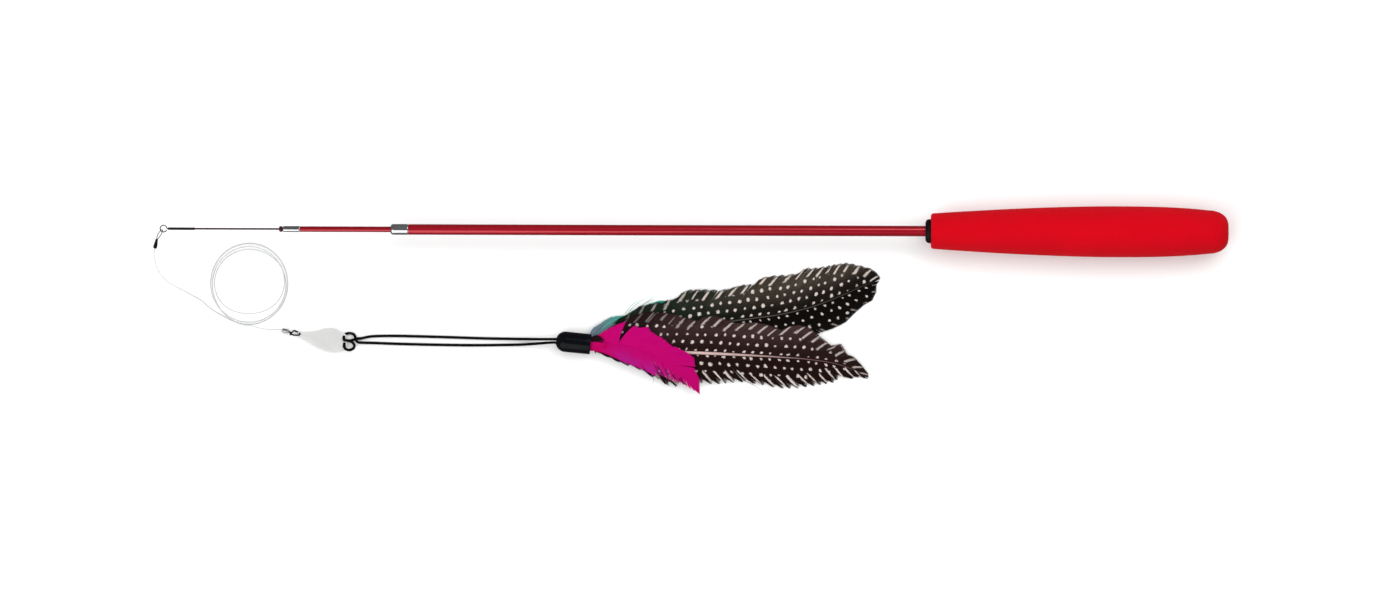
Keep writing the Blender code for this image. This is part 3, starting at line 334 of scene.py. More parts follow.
def wire_finish(name, colour, roughness):
    """Dark drawn wire, rubbed a little brighter here and there."""
    f = Finish(name, colour, roughness, Metallic=0.2, Specular_IOR_Level=0.2)
    rub = f.noise(f.place(0.0008), 3.0)
    f.colour(f.mix(f.ramp(rub, 0.6, 0.85), tuple(colour), scaled(colour, 1.8)))
    f.roughness(f.ramp(rub, 0.3, 0.8, roughness * 0.8, roughness * 1.4))
    f.bump(rub, 0.00001, 0.4)
    return f.material


def barb_places(f):
    """From the vane's own maps: along and across it in mm, and run, reach and rest of each barb."""
    along, across, _ = f.parted(f.add("ShaderNodeUVMap", uv_map="UVMap"))
    barb = f.add("ShaderNodeAttribute", out="Vector", attribute_name="barb")
    tone = f.add("ShaderNodeAttribute", out="Fac", attribute_name="tone")
    return along, across, *f.parted(barb), tone


def joined(f, x, y, z=0.0):
    return f.add("ShaderNodeCombineXYZ", x, y, z)


def spots(f, looks, along, across, run, rest, edge, dots, bars):
    """Oval spots in staggered rows, longer along the barbs, and slanting bars near the vane's edge.

    edge is how far from the vane's left and right edge the dots end, dots their radius at each side,
    and bars the strength, length and spacing, in spot pitches, of the bars at each side.
    """
    lean = (0.74, 0.67)
    pitch = looks.spot_pitch / MM
    row = looks.spot_row / MM
    sway = f.noise(joined(f, f.times(along, 0.07), across), 1.0)
    wide = f.math("ABSOLUTE", across)
    level = f.math("DIVIDE", f.math("MULTIPLY_ADD", sway, 1.6, wide), row)
    floor = f.math("FLOOR", level)
    side = f.times(f.math("SIGN", across), 17.0)
    stagger = f.times(f.math("FLOORED_MODULO", floor, 2.0), 0.5)
    cell = f.plus(f.math("DIVIDE", along, pitch), stagger)
    chance = f.add(
        "ShaderNodeTexWhiteNoise",
        noise_dimensions="3D",
        named={"Vector": joined(f, f.math("FLOOR", cell), floor, side)},
        out=1,
    )
    chances = f.parted(chance)
    east = f.math("MULTIPLY_ADD", chances[0], 0.26, f.minus(f.math("FRACT", cell), 0.63))
    north = f.math("MULTIPLY_ADD", chances[1], 0.16, f.minus(f.math("FRACT", level), 0.58))
    east = f.times(east, pitch)
    north = f.times(north, row)
    long = f.math("MULTIPLY_ADD", east, lean[0], f.times(north, lean[1]))
    thin = f.math("MULTIPLY_ADD", north, lean[0], f.times(east, -lean[1]))
    oval = f.times(long, f.ramp(wide, 2.0, 8.0, 0.6, 0.82))
    far = f.vector("LENGTH", joined(f, oval, thin), out=1)
    size = f.ramp(chances[2], 0.0, 1.0, 0.66, 1.0)
    size = f.times(size, f.ramp(across, -0.5, 0.5, dots[1], dots[0]))
    size = f.times(size, f.ramp(wide, 1.5, 7.0, 0.8, 1.0))
    tremble = f.noise(joined(f, f.times(run, 1.3), f.times(across, 0.8)), 2.0)
    size = f.times(size, f.ramp(tremble, 0.3, 0.7, 0.85, 1.12))
    dot = f.ramp(f.minus(far, size), -0.2, 0.12, 1.0, 0.0)
    border = f.ramp(across, -0.5, 0.5, edge[1], edge[0])
    inside = f.ramp(f.minus(rest, border), -1.6, 0.4)
    clear = f.ramp(wide, 0.9, 1.4)
    dot = f.times(dot, f.times(inside, clear))

    strength, length, spacing = ([right, left] for left, right in zip(*bars))
    count = f.math("DIVIDE", run, f.ramp(across, -0.01, 0.01, pitch * spacing[0], pitch * spacing[1]))
    number = f.add("ShaderNodeTexWhiteNoise", noise_dimensions="1D", named={"W": f.math("FLOOR", count)})
    middle = f.math("ABSOLUTE", f.minus(f.math("FRACT", count), 0.5))
    width = f.times(f.ramp(tremble, 0.3, 0.7, 0.10, 0.15), f.ramp(rest, 0.0, 4.0, 0.6, 1.0))
    width = f.times(width, f.ramp(across, -0.5, 0.5, 0.78, 1.0))
    bar = f.ramp(f.minus(middle, width), -0.04, 0.03, 1.0, 0.0)
    start = f.math("MULTIPLY_ADD", number, 2.2, f.ramp(across, -0.5, 0.5, length[0], length[1]))
    bar = f.times(bar, f.ramp(f.minus(rest, start), -0.4, 0.5, 1.0, 0.0))
    fading = f.math("MULTIPLY_ADD", f.ramp(across, -0.5, 0.5), -0.85, 1.0)
    bar = f.times(bar, f.math("MAXIMUM", f.ramp(rest, 0.1, 1.2), fading))
    bar = f.times(bar, f.ramp(across, -0.5, 0.5, strength[0], strength[1]))
    bar = f.times(bar, f.ramp(run, 15.0, 60.0, 0.3, 1.0))
    return f.math("MINIMUM", f.math("MAXIMUM", dot, bar), 1.0)


def spotted_finish(name, looks, inner, left, right, base, base_run, edge, dots, bars):
    """A guinea fowl vane: dark at the shaft, with its own tone at each edge, dyed near the cap."""
    f = Finish(name, inner, 0.7, Specular_IOR_Level=0.05)
    along, across, run, _, rest, tone = barb_places(f)
    streak = f.noise(joined(f, f.times(run, 2.2), f.times(rest, 0.12)), 3.0)
    cloud = f.noise(joined(f, f.times(along, 0.06), f.times(across, 0.15)), 2.0)
    outer = f.mix(f.ramp(across, -1.0, 1.0), right, left)
    wide = f.ramp(f.math("ABSOLUTE", across), 2.0, 15.0, 0.1, 1.0)
    wide = f.times(wide, f.ramp(cloud, 0.3, 0.7, 0.7, 1.1))
    body = f.mix(wide, inner, outer)
    body = f.mix(f.ramp(streak, 0.3, 0.75, 0.0, 0.35), body, scaled(inner, 0.5))
    near = f.times(f.ramp(run, base_run * 0.3, base_run, 1.0, 0.0), 0.85)
    body = f.mix(near, body, base)
    body = f.mix(f.times(tone, 0.35), body, scaled(inner, 0.4))
    fade = spots(f, looks, along, across, run, rest, edge, dots, bars)
    fade = f.times(fade, f.ramp(run, 4.0, 26.0, 0.45, 0.96))
    f.colour(f.mix(fade, body, tuple(looks.spot_colour)))
    f.roughness(f.ramp(streak, 0.3, 0.7, 0.58, 0.76))
    f.bump(streak, 0.00003, 0.3)
    return f.material


def dyed_finish(name, colour, left, right, deep, base, base_run, tips=0.0):
    """A dyed vane: one tone at each edge, deeper in faint streaks and in random locks of barbs, and another
    near the cap.
    """
    f = Finish(name, colour, 0.72, Specular_IOR_Level=0.06)
    along, across, run, _, rest, tone = barb_places(f)
    streak = f.noise(joined(f, f.times(run, 0.9), f.times(rest, 0.10)), 3.0)
    cloud = f.noise(joined(f, f.times(along, 0.07), f.times(across, 0.11)), 1.0)
    outer = f.mix(f.ramp(across, -1.0, 1.0), right, left)
    wide = f.ramp(f.math("ABSOLUTE", across), 1.5, 10.0)
    wide = f.times(wide, f.ramp(cloud, 0.35, 0.62, 0.25, 1.1))
    body = f.mix(wide, tuple(colour), outer)
    body = f.mix(f.ramp(streak, 0.45, 0.8, 0.0, 0.35), body, deep)
    body = f.mix(f.times(tone, 0.3), body, deep)
    pale = f.times(f.ramp(rest, 0.0, 1.6, tips, 0.0), f.ramp(across, -1.5, -0.5, 1.0, 0.0))
    body = f.mix(f.times(pale, f.ramp(run, 25.0, 45.0)), body, (0.66, 0.20, 0.40))
    f.colour(f.mix(f.ramp(run, base_run * 0.2, base_run, 0.85, 0.0), body, base))
    f.roughness(f.ramp(streak, 0.3, 0.7, 0.64, 0.80))
    f.bump(streak, 0.00002, 0.25)
    return f.material


def shaft_finish(name, near, far, turn_at):
    """A feather's shaft: pale near the cap and dark towards the tip, with faint rings."""
    f = Finish(name, near, 0.5, Specular_IOR_Level=0.2)
    along = f.parted(f.add("ShaderNodeUVMap", uv_map="UVMap"))[0]
    rings = f.noise(joined(f, f.times(along, 0.9), 0.0), 2.0)
    body = f.mix(f.ramp(along, turn_at * 0.6, turn_at * 1.3), near, far)
    f.colour(f.mix(f.ramp(rings, 0.45, 0.8, 0.0, 0.4), body, scaled(near, 0.6)))
    f.bump(rings, 0.00002, 0.4)
    return f.material


def floor_finish(colour):
    f = Finish("pale_floor", colour, 0.9, Specular_IOR_Level=0.1)
    grain = f.noise(f.place(0.004), 3.0)
    f.colour(f.mix(grain, scaled(colour, 0.995), tuple(colour)))
    return f.material


# Shapes


def through(points, per_span=8):
    """A smooth curve through points, by centripetal Catmull-Rom spans."""
    p = [np.array(q, dtype=float) for q in points]
    p = [2 * p[0] - p[1], *p, 2 * p[-1] - p[-2]]
    made = []
    for a, b, c, d in zip(p, p[1:], p[2:], p[3:]):
        ta = 0.0
        tb = ta + math.sqrt(np.linalg.norm(b - a))
        tc = tb + math.sqrt(np.linalg.norm(c - b))
        td = tc + math.sqrt(np.linalg.norm(d - c))
        for t in np.linspace(tb, tc, per_span, endpoint=False):
            ab = (tb - t) / (tb - ta) * a + (t - ta) / (tb - ta) * b
            bc = (tc - t) / (tc - tb) * b + (t - tb) / (tc - tb) * c
            cd = (td - t) / (td - tc) * c + (t - tc) / (td - tc) * d
            abc = (tc - t) / (tc - ta) * ab + (t - ta) / (tc - ta) * bc
            bcd = (td - t) / (td - tb) * bc + (t - tb) / (td - tb) * cd
            made.append((tc - t) / (tc - tb) * abc + (t - tb) / (tc - tb) * bcd)
    made.append(p[-2])
    return np.array(made)


def runs(points):
    """The length of the path up to each of its points."""
    return np.concatenate([[0.0], np.cumsum(np.linalg.norm(np.diff(points, axis=0), axis=1))])


def at_run(at, run, points):
    """The place, or the places, of a path at a length along it."""
    return np.stack([np.interp(at, run, points[:, k]) for k in range(points.shape[1])], axis=-1)


def spaced(points, step):
    """The path again, with even steps."""
    run = runs(points)
    return at_run(np.linspace(0.0, run[-1], max(2, round(run[-1] / step) + 1)), run, points)


def in_scene(name, data):
    obj = bpy.data.objects.new(name, data)
    bpy.context.scene.collection.objects.link(obj)
    return obj


def new_object(name, mesh, finish):
    mesh.materials.clear()
    mesh.materials.append(finish)
    return in_scene(name, mesh)


def closed(mesh, degrees, merge=0.0):
    """Merges a mesh's doubles, turns its faces outwards and shades its soft edges smooth."""
    shape = bmesh.new()
    shape.from_mesh(mesh)
    if merge:
        bmesh.ops.remove_doubles(shape, verts=shape.verts, dist=merge)
    bmesh.ops.recalc_face_normals(shape, faces=shape.faces)
    shape.to_mesh(mesh)
    shape.free()
    mesh.shade_smooth()
    mesh.set_sharp_from_angle(angle=math.radians(degrees))


def from_rings(name, rings, finish, uv):
    """A skin over rings of points in mm, capped at its ends. uv maps a ring and a place on it."""
    count, sides = len(rings), len(rings[0])
    points = [tuple(Vector(p) * MM) for ring in rings for p in ring]
    faces = []
    for a in range(0, (count - 1) * sides, sides):
        b = a + sides
        faces += [(a + j, a + (j + 1) % sides, b + (j + 1) % sides, b + j) for j in range(sides)]
    faces.append(tuple(range(sides))[::-1])
    faces.append(tuple((count - 1) * sides + j for j in range(sides)))
    mesh = bpy.data.meshes.new(name)
    mesh.from_pydata(points, [], faces)
    layer = mesh.uv_layers.new(name="UVMap")
    for polygon in mesh.polygons:
        corners = list(polygon.loop_indices)
        marks = [divmod(mesh.loops[c].vertex_index, sides) for c in corners]
        wraps = len(marks) == 4 and {j for _, j in marks} == {0, sides - 1}
        for corner, (i, j) in zip(corners, marks):
            layer.data[corner].uv = uv(i, sides if wraps and j == 0 else j)
    closed(mesh, 60.0)
    return new_object(name, mesh, finish)


def frames_along(points):
    """Tangent and two steady cross directions at each point of a path."""
    tangents = np.gradient(points, axis=0)
    tangents /= np.linalg.norm(tangents, axis=1)[:, None]
    side = np.cross(tangents[0], (0.0, 0.0, 1.0))
    if np.linalg.norm(side) < 1e-3:
        side = np.array((1.0, 0.0, 0.0))
    sides = []
    for tangent in tangents:
        side = side - tangent * side.dot(tangent)
        side = side / np.linalg.norm(side)
        sides.append(side)
    sides = np.array(sides)
    return tangents, sides, np.cross(sides, tangents)


def tube(name, points, radius, finish, sides=12, relief=None):
    """A round tube along points. radius is a number or one for each point, in mm."""
    points = np.array(points, dtype=float)
    run = runs(points)
    radii = np.full(len(points), radius) if np.isscalar(radius) else np.array(radius)
    _, across, up = frames_along(points)
    angles = 2 * math.pi * np.arange(sides) / sides
    rings = []
    for i, place in enumerate(points):
        reach = radii[i] * (np.ones(sides) if relief is None else relief(run[i], angles))
        sideways = np.outer(np.cos(angles) * reach, across[i])
        rings.append(place + sideways + np.outer(np.sin(angles) * reach, up[i]))
    girth = 2 * math.pi * float(radii.max())
    return from_rings(name, rings, finish, lambda i, j: (run[i], girth * j / sides))


def held(profile, near=0.08):
    """The profile with a point close to each end of its long spans, so that these shade straight."""
    made = []
    for (ra, ha), (rb, hb) in zip(profile, profile[1:]):
        made.append((ra, ha))
        long = math.hypot(rb - ra, hb - ha)
        if long > 4 * near:
            for share in (near / long, 1 - near / long):
                made.append((ra + (rb - ra) * share, ha + (hb - ha) * share))
    return [*made, profile[-1]]


def lathe(name, profile, steps, finish, origin=None, axis=(-1.0, 0.0, 0.0)):
    """A turned piece from (radius, distance along the axis) points that run round its section."""
    origin = Vector(origin or (BUTT, AXIS_Y, AXIS_Z))
    axis = Vector(axis).normalized()
    side = axis.cross(Vector((0.0, 0.0, 1.0))).normalized()
    up = side.cross(axis)
    shape = bmesh.new()
    rings = []
    for radius, at in held(profile):
        if radius < 1e-6:
            if not rings or len(rings[-1]) > 1:
                rings.append([shape.verts.new((origin + axis * at) * MM)])
            continue
        turns = [2 * math.pi * k / steps for k in range(steps)]
        ring = [origin + axis * at + (side * math.cos(t) + up * math.sin(t)) * radius for t in turns]
        rings.append([shape.verts.new(p * MM) for p in ring])
    pairs = list(zip(rings, rings[1:]))
    if len(rings[0]) > 1:
        pairs.append((rings[-1], rings[0]))
    for a, b in pairs:
        for k in range(steps):
            n = (k + 1) % steps
            if len(a) == 1:
                shape.faces.new((a[0], b[k], b[n]))
            elif len(b) == 1:
                shape.faces.new((a[k], a[n], b[0]))
            else:
                shape.faces.new((a[k], a[n], b[n], b[k]))
    mesh = bpy.data.meshes.new(name)
    shape.to_mesh(mesh)
    shape.free()
    closed(mesh, 35.0)
    return new_object(name, mesh, finish)


def arc(centre, radii, start, end, count):
    """Points of an ellipse's arc in a profile, angles in degrees from the radius towards the axis."""
    turns = np.radians(np.linspace(start, end, count))
    return [(centre[0] + radii[0] * math.cos(t), centre[1] + radii[1] * math.sin(t)) for t in turns]


def fitted(obj, body, slot, *nodes):
    """Puts a piece on its body and in the place of CAD nodes. Its slot is not used."""
    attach(obj, body)
    if nodes:
        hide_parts(*nodes)
    return obj


# The wand's pieces, as profiles of (radius, distance from the butt) in mm


def along_wand(node):
    """Where a CAD node starts and ends, in mm from the butt."""
    low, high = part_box(node)
    return BUTT - high.x / MM, BUTT - low.x / MM


def grip_profile():
    """Down the bore, round the front corner, along the two tapers and round the butt."""
    front, belly, dome, corner = 163.6, 65.0, 11.0, 1.5
    front_radius, belly_radius, dome_radius, flat = 9.8, 14.0, 11.95, 3.0
    line = [(0.0, 10.7), (3.2, 10.7), (3.2, 161.9), (6.9, 161.9), (6.9, front)]
    line += arc((front_radius - corner, front - corner), (corner, corner), 90, 0, 9)
    for share in np.linspace(0.0, 1.0, 40)[1:]:
        radius = belly_radius - (belly_radius - front_radius) * (1 - share) ** 1.65
        line.append((radius, front - corner + (belly - front + corner) * share))
    for share in np.linspace(0.0, 1.0, 16)[1:]:
        radius = belly_radius - (belly_radius - dome_radius) * share**3
        line.append((radius, belly + (dome - belly) * share))
    for turn in np.radians(np.linspace(0, 90, 19))[1:-1]:
        radius = flat + (dome_radius - flat) * math.cos(turn) ** 0.8
        line.append((radius, dome * (1 - math.sin(turn))))
    return [*line, (flat, 0.0), (0.0, 0.0)]


def make_grip(looks):
    grip = lathe("grip_foam", grip_profile(), 128, foam_finish(looks))
    fitted(grip, "handle", "red_foam", "foam_grip")
    black = moulded_finish("black_collar_plastic", (0.0035, 0.0035, 0.004), 0.42, gloss=0.12)
    back = 162.2
    line = [(3.2, back + 4.4), (4.2, back + 4.4)]
    line += arc((4.5, back + 2.3), (2.1, 2.1), 85, 0, 14)
    line += [(6.6, back), (3.2, back)]
    collar = lathe("grip_collar", line, 96, black)
    fitted(collar, "handle", "black_plastic", "front_collar")


def make_tubes(looks):
    front, rear, spigot = 451.0, 14.0, 439.0
    red = anodised_finish("red_anodised", tuple(looks.tube_colour))
    silver = metal_finish("bright_ferrule", tuple(looks.metal_colour), 0.16)
    line = [(2.8, front), (2.9, front - 0.1), (2.9, rear + 0.1), (2.8, rear), (2.4, rear), (2.4, front)]
    fitted(lathe("outer_section_tube", line, 96, red), "handle", "red_anodised", "outer_tube")
    line = [
        (1.75, 460.4), (1.85, 460.55), (2.05, 460.55), (2.35, 460.3), (2.68, 460.0), (2.88, 459.6),
        (2.95, 459.1), (2.95, 451.4), (2.86, 451.15), (2.25, 451.15), (2.25, spigot), (1.75, spigot),
    ]
    fitted(lathe("outer_section_ferrule", line, 96, silver), "handle", "silver_metal", "outer_ferrule")


def make_middle(looks):
    front, rear, spigot = 510.55, 138.55, 502.6
    red = anodised_finish("red_anodised_middle", scaled(looks.tube_colour, 0.85))
    silver = metal_finish("bright_ferrule_small", scaled(looks.metal_colour, 0.9), 0.18, 0.00008)
    black = moulded_finish("dark_nose_plastic", (0.030, 0.002, 0.005), 0.36)
    line = [(1.5, front), (1.55, front - 0.05), (1.55, rear + 0.05), (1.5, rear), (1.1, rear), (1.1, front)]
    fitted(lathe("middle_section_tube", line, 64, red), "middle_section", "red_anodised", "middle_tube")
    line = [
        (0.72, 519.7), (1.42, 519.7), (1.6, 519.5), (1.66, 519.2), (1.66, 510.95), (1.58, 510.72),
        (0.95, 510.72), (0.95, spigot), (0.72, spigot),
    ]
    ferrule = lathe("middle_section_ferrule", line, 64, silver)
    fitted(ferrule, "middle_section", "silver_metal", "middle_ferrule")
    low, high = along_wand("middle_nose_bush")
    centre = (low + high) / 2
    line = [(0.72, low), (1.3, low)]
    line += arc((0.95, centre), (0.67, (high - low) / 2 - 0.02), -60, 78, 12)
    line += [(0.8, high), (0.72, high)]
    nose = lathe("middle_section_nose", line, 64, black)
    fitted(nose, "middle_section", "black_plastic", "middle_nose_bush")


def make_rod(looks):
    dark = anodised_finish("dark_red_rod", (0.032, 0.001, 0.003))
    start, end = along_wand("tip_rod")
    line = [(0.0, end), (0.42, end), (0.5, end - 0.1), (0.5, start + 0.1), (0.42, start), (0.0, start)]
    fitted(lathe("tip_section_rod", line, 48, dark), "tip_section", "dark_red_rod", "tip_rod")
    start, end = along_wand("tip_sleeve")
    black = moulded_finish("black_tip_sleeve", (0.010, 0.010, 0.011), 0.45, gloss=0.1)
    line = [
        (0.36, end), (0.55, end), (0.66, end - 0.25), (0.72, end - 0.8), (0.72, start + 0.5),
        (0.66, start + 0.1), (0.58, start), (0.55, start), (0.53, start + 4.0), (0.36, start + 9.4),
    ]
    fitted(lathe("tip_section_sleeve", line, 48, black), "tip_section", "black_plastic", "tip_sleeve")


def make_inner_pieces():
    """Gives the CAD nodes that stay in the scene their finishes."""
    plain = moulded_finish("bush_plastic", (0.045, 0.045, 0.048), 0.5)
    glue = moulded_finish("amber_quill_plug", (0.34, 0.20, 0.09), 0.35, coat=0.3)
    finishes = dict.fromkeys(
        ("outer_tube_end_plug", "middle_friction_bush", "rod_friction_bush", "elastic_stopper"), plain
    )
    for name, finish in (finishes | {"quill_plug": glue}).items():
        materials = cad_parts[name].data.materials
        materials.clear()
        materials.append(finish)


# Line and elastic, in mm from the butt and from the wand's axis, as the CAD has them

LINE_LEAD = [
    (-590.7, -12.1, 9.8), (-590.8, -15.0, 8.5), (-589.9, -19.4, 6.7), (-587.7, -24.4, 4.7),
    (-583.8, -28.8, 3.0), (-579.1, -31.8, 1.9), (-574.8, -34.0, 1.2), (-570.9, -36.1, 0.75),
    (-565.4, -39.1, 0.45), (-561.0, -42.8, 0.34), (-556.9, -45.8, 0.34), (-551.8, -48.6, 0.35),
    (-547.7, -50.6, 0.37), (-543.4, -52.1, 0.39), (-539.7, -52.6, 0.4),
]
COIL_CENTRE = (-538.6, -30.3)
COIL_QUARTERS = (22.3, 21.2, 22.4, 21.2, 21.0, 20.2, 19.1, 19.1, 16.3, 19.4, 20.6, 20.2, 22.9)
LINE_TAIL = [
    (-537.5, -53.25, 3.38), (-535.0, -53.9, 3.17), (-532.1, -54.7, 2.8), (-528.0, -55.2, 2.3),
    (-524.6, -55.25, 1.98), (-521.6, -55.35, 1.86), (-520.3, -55.6, 1.85),
]
KNOT = [
    (-478.2, -60.1, 0.76), (-479.4, -60.2, 0.76), (-481.0, -60.8, 0.76), (-483.2, -61.3, 0.76),
    (-485.2, -61.5, 0.76), (-486.1, -62.4, 0.8), (-486.15, -63.6, 1.85), (-486.05, -64.9, 3.02),
    (-485.0, -66.1, 3.1), (-483.1, -66.4, 2.6), (-481.2, -65.6, 2.1), (-480.6, -64.0, 1.9),
    (-481.3, -62.6, 2.2), (-482.8, -61.6, 2.9), (-484.6, -61.2, 3.1), (-486.1, -60.95, 3.02),
    (-486.35, -59.8, 1.85), (-486.2, -58.6, 0.8), (-485.3, -57.6, 0.76), (-483.4, -57.2, 0.76),
    (-481.4, -57.6, 0.84), (-480.3, -58.8, 1.5), (-479.9, -60.3, 2.45), (-479.3, -61.6, 2.2),
    (-478.2, -62.2, 1.7),
]
UPPER_STRAND = [
    (-476.7, -59.95, 0.76), (-471.9, -59.0, 0.76), (-460.7, -58.6, 0.76), (-437.1, -59.0, 0.76),
    (-408.6, -59.8, 0.76), (-395.0, -60.0, 0.88), (-385.0, -60.1, 1.9), (-377.0, -60.15, 4.0),
    (-371.5, -60.1, 5.3), (-368.5, -60.2, 5.57), (-366.1, -60.42, 5.57), (-364.85, -60.54, 5.57),
]
LOWER_STRAND = [
    (-476.7, -62.35, 1.4), (-470.8, -62.5, 0.9), (-462.0, -62.8, 0.76), (-456.0, -63.0, 0.76),
    (-418.1, -63.6, 0.76), (-400.0, -63.4, 0.84), (-388.0, -63.1, 1.7), (-378.0, -62.4, 3.9),
    (-372.0, -61.95, 5.3), (-368.7, -62.0, 5.57), (-366.2, -62.22, 5.57), (-365.02, -62.33, 5.57),
]


def on_wand(points):
    """Points given from the butt and the axis, in the frame's millimetres."""
    return [(x + BUTT, y + AXIS_Y, z) for x, y, z in points]


def coil_points():
    """The coil's turns, each a quarter of a millimetre higher for every quarter turn."""
    steps = 12
    marks = through([(i, r) for i, r in enumerate(COIL_QUARTERS)], steps)
    points = []
    for step in range(1, (len(COIL_QUARTERS) - 1) * steps + 1):
        quarter = step / steps
        radius = float(np.interp(quarter, marks[:, 0], marks[:, 1]))
        angle = math.radians(90 * quarter - 90)
        x = COIL_CENTRE[0] + radius * math.cos(angle)
        y = COIL_CENTRE[1] + radius * math.sin(angle)
        points.append((x, y, 0.4 + quarter / 4))
    return points


BARREL_FACE = Vector((-294.64, 28.337, 10.32))
BARREL_OUT = Vector((-0.20388, -0.88308, -0.42262))


def make_line(looks):
    start = [tuple(BARREL_FACE - BARREL_OUT * 0.4), tuple(BARREL_FACE + BARREL_OUT * 0.5)]
    route = [*start, *on_wand([*LINE_LEAD, *coil_points(), *LINE_TAIL])]
    points = spaced(through(route, 6), 0.9)
    line = tube("nylon_line", points, looks.line / 2 / MM, line_finish(), 10)
    fitted(line, "line_hitch", "clear_line", "line_lead", "line_coil", "line_tail")


def make_elastic(looks):
    route = on_wand([*UPPER_STRAND[::-1], *KNOT, *LOWER_STRAND])
    points = spaced(through(route, 10), 0.22)
    pitch = looks.braid_pitch / MM

    def braid(run, angles):
        """Four threads each way round, whose crowns stand a twentieth of the radius high."""
        twist = 2 * math.pi * run / pitch / 4
        one, two = np.sin(4 * (angles + twist)), np.sin(4 * (angles - twist))
        return 0.95 + 0.05 * np.maximum(np.abs(one), np.abs(two))

    cord = tube("elastic_cord", points, looks.elastic / 2 / MM, elastic_finish(), 24, braid)
    fitted(cord, "lure", "black_elastic", "elastic_upper_strand", "elastic_knot", "elastic_lower_strand")


# Snaps, barrels, ring and tab, in the frame's millimetres

TOP_SNAP = [
    (-293.82, 31.87, 12.01), (-293.56, 33.02, 12.56), (-293.45, 33.37, 12.71), (-293.47, 34.15, 13.31),
    (-293.01, 35.62, 14.06), (-292.09, 37.06, 14.45), (-291.18, 38.12, 14.54), (-290.58, 38.34, 14.25),
    (-290.36, 37.9, 13.75), (-290.76, 36.69, 13.15), (-291.53, 35.21, 12.63), (-292.59, 33.83, 12.7),
    (-293.08, 33.13, 13.16), (-293.44, 33.14, 13.44),
]
LURE_SNAP = [
    (-222.44, -17.16, 1.85), (-220.59, -17.59, 1.85), (-220.06, -18.42, 1.90), (-219.29, -19.07, 2.10),
    (-217.88, -19.40, 2.45), (-216.91, -19.43, 2.85), (-215.92, -19.38, 2.85), (-214.99, -18.88, 1.85),
    (-215.61, -18.03, 0.85), (-216.48, -17.55, 0.85), (-217.36, -17.16, 1.20), (-217.89, -16.99, 1.65),
    (-218.58, -17.11, 2.40), (-219.25, -17.78, 2.95), (-219.96, -18.62, 3.00), (-220.39, -19.17, 2.60),
]
LURE_BARREL_FACE = Vector((-224.683, -16.646, 1.85))
LURE_BARREL_ALONG = Vector((0.97437, -0.22495, 0.0))
RING_AT = 585.45
RING_RADIUS = 1.85


def make_ring():
    wire = wire_finish("dark_ring_wire", (0.008, 0.008, 0.0085), 0.4)
    centre = Vector((BUTT - RING_AT, AXIS_Y, AXIS_Z))
    shank = [(6.9, 0.0), (2.6, 0.0), (2.1, 0.05)]
    points = shank + arc((0.0, 0.0), (RING_RADIUS, RING_RADIUS), 22, 338, 40)
    route = [tuple(centre + Vector((x, y, 0.0))) for x, y in points]
    ring = tube("tip_wire_ring", spaced(through(route, 4), 0.16), 0.3, wire, 12)
    fitted(ring, "tip_section", "dark_wire", "tip_ring")


def make_top_snap():
    wire = wire_finish("grey_snap_wire", (0.004, 0.004, 0.0042), 0.4)
    snap = tube("line_snap_wire", spaced(through(TOP_SNAP, 8), 0.12), 0.225, wire, 12)
    fitted(snap, "line_hitch", "dark_wire", "top_snap")
    black = metal_finish("black_barrel", (0.016, 0.016, 0.018), 0.34)
    line = [
        (0.0, 3.6), (0.425, 3.6), (0.425, 5.4), (0.6, 5.4), (0.66, 5.3), (0.68, 5.0), (0.73, 4.3),
        (0.88, 3.2), (0.99, 2.4), (1.01, 2.27), (0.97, 2.2), (0.97, 2.05), (1.03, 1.95), (1.09, 1.2),
        (1.1, 0.9), (1.07, 0.35), (0.98, 0.1), (0.85, 0.0), (0.3, 0.0), (0.3, 0.5), (0.0, 0.5),
    ]
    barrel = lathe("line_barrel", line, 48, black, BARREL_FACE, -BARREL_OUT)
    fitted(barrel, "top_barrel", "black_metal", "top_swivel_barrel")


def make_lure_snap(looks):
    wire = wire_finish("black_snap_wire", (0.003, 0.003, 0.0032), 0.45)
    snap = tube("lure_snap_wire", spaced(through(LURE_SNAP, 8), 0.14), 0.45, wire, 14)
    fitted(snap, "line_hitch", "black_metal", "lure_snap")
    bright = metal_finish("bright_barrel", scaled(looks.metal_colour, 0.75), 0.3)
    line = [
        (0.0, 1.9), (0.5, 1.9), (0.5, 3.9), (0.7, 3.9), (0.78, 3.86), (0.99, 3.45), (1.05, 3.0),
        (1.05, 2.72), (1.0, 2.66), (1.0, 2.5), (1.05, 2.44), (1.05, 0.7), (1.02, 0.4), (0.94, 0.16),
        (0.8, 0.0), (0.3, 0.0), (0.3, 0.5), (0.0, 0.5),
    ]
    barrel = lathe("lure_barrel_shell", line, 48, bright, LURE_BARREL_FACE, LURE_BARREL_ALONG)
    fitted(barrel, "lure_barrel", "plated_brass", "lure_swivel_barrel")


TAB_EYE = (-215.037, -18.873)
TAB_MIDDLE = 1.85
TAB_THICK = 0.6
KNOT_HOLES = ((-486.15, -63.6, 0.0), (-486.35, -59.8, 0.0))
TAB_OUTLINE = [
    (-1.45, 0.0), (-1.05, 1.05), (0.2, 1.45), (2.6, 1.1), (6.9, 1.35), (9.2, 1.65), (11.3, 2.2),
    (13.5, 2.9), (15.7, 3.15), (18.2, 3.1), (20.2, 2.4), (22.3, 1.4), (24.4, 0.6), (25.8, -0.7),
    (26.3, -2.6), (26.35, -5.0), (26.1, -7.0), (24.7, -8.7), (22.0, -9.35), (18.5, -9.5), (15.7, -9.2),
    (12.8, -8.4), (9.1, -6.7), (6.2, -5.0), (2.5, -2.9), (0.5, -1.75), (-0.9, -1.15),
]


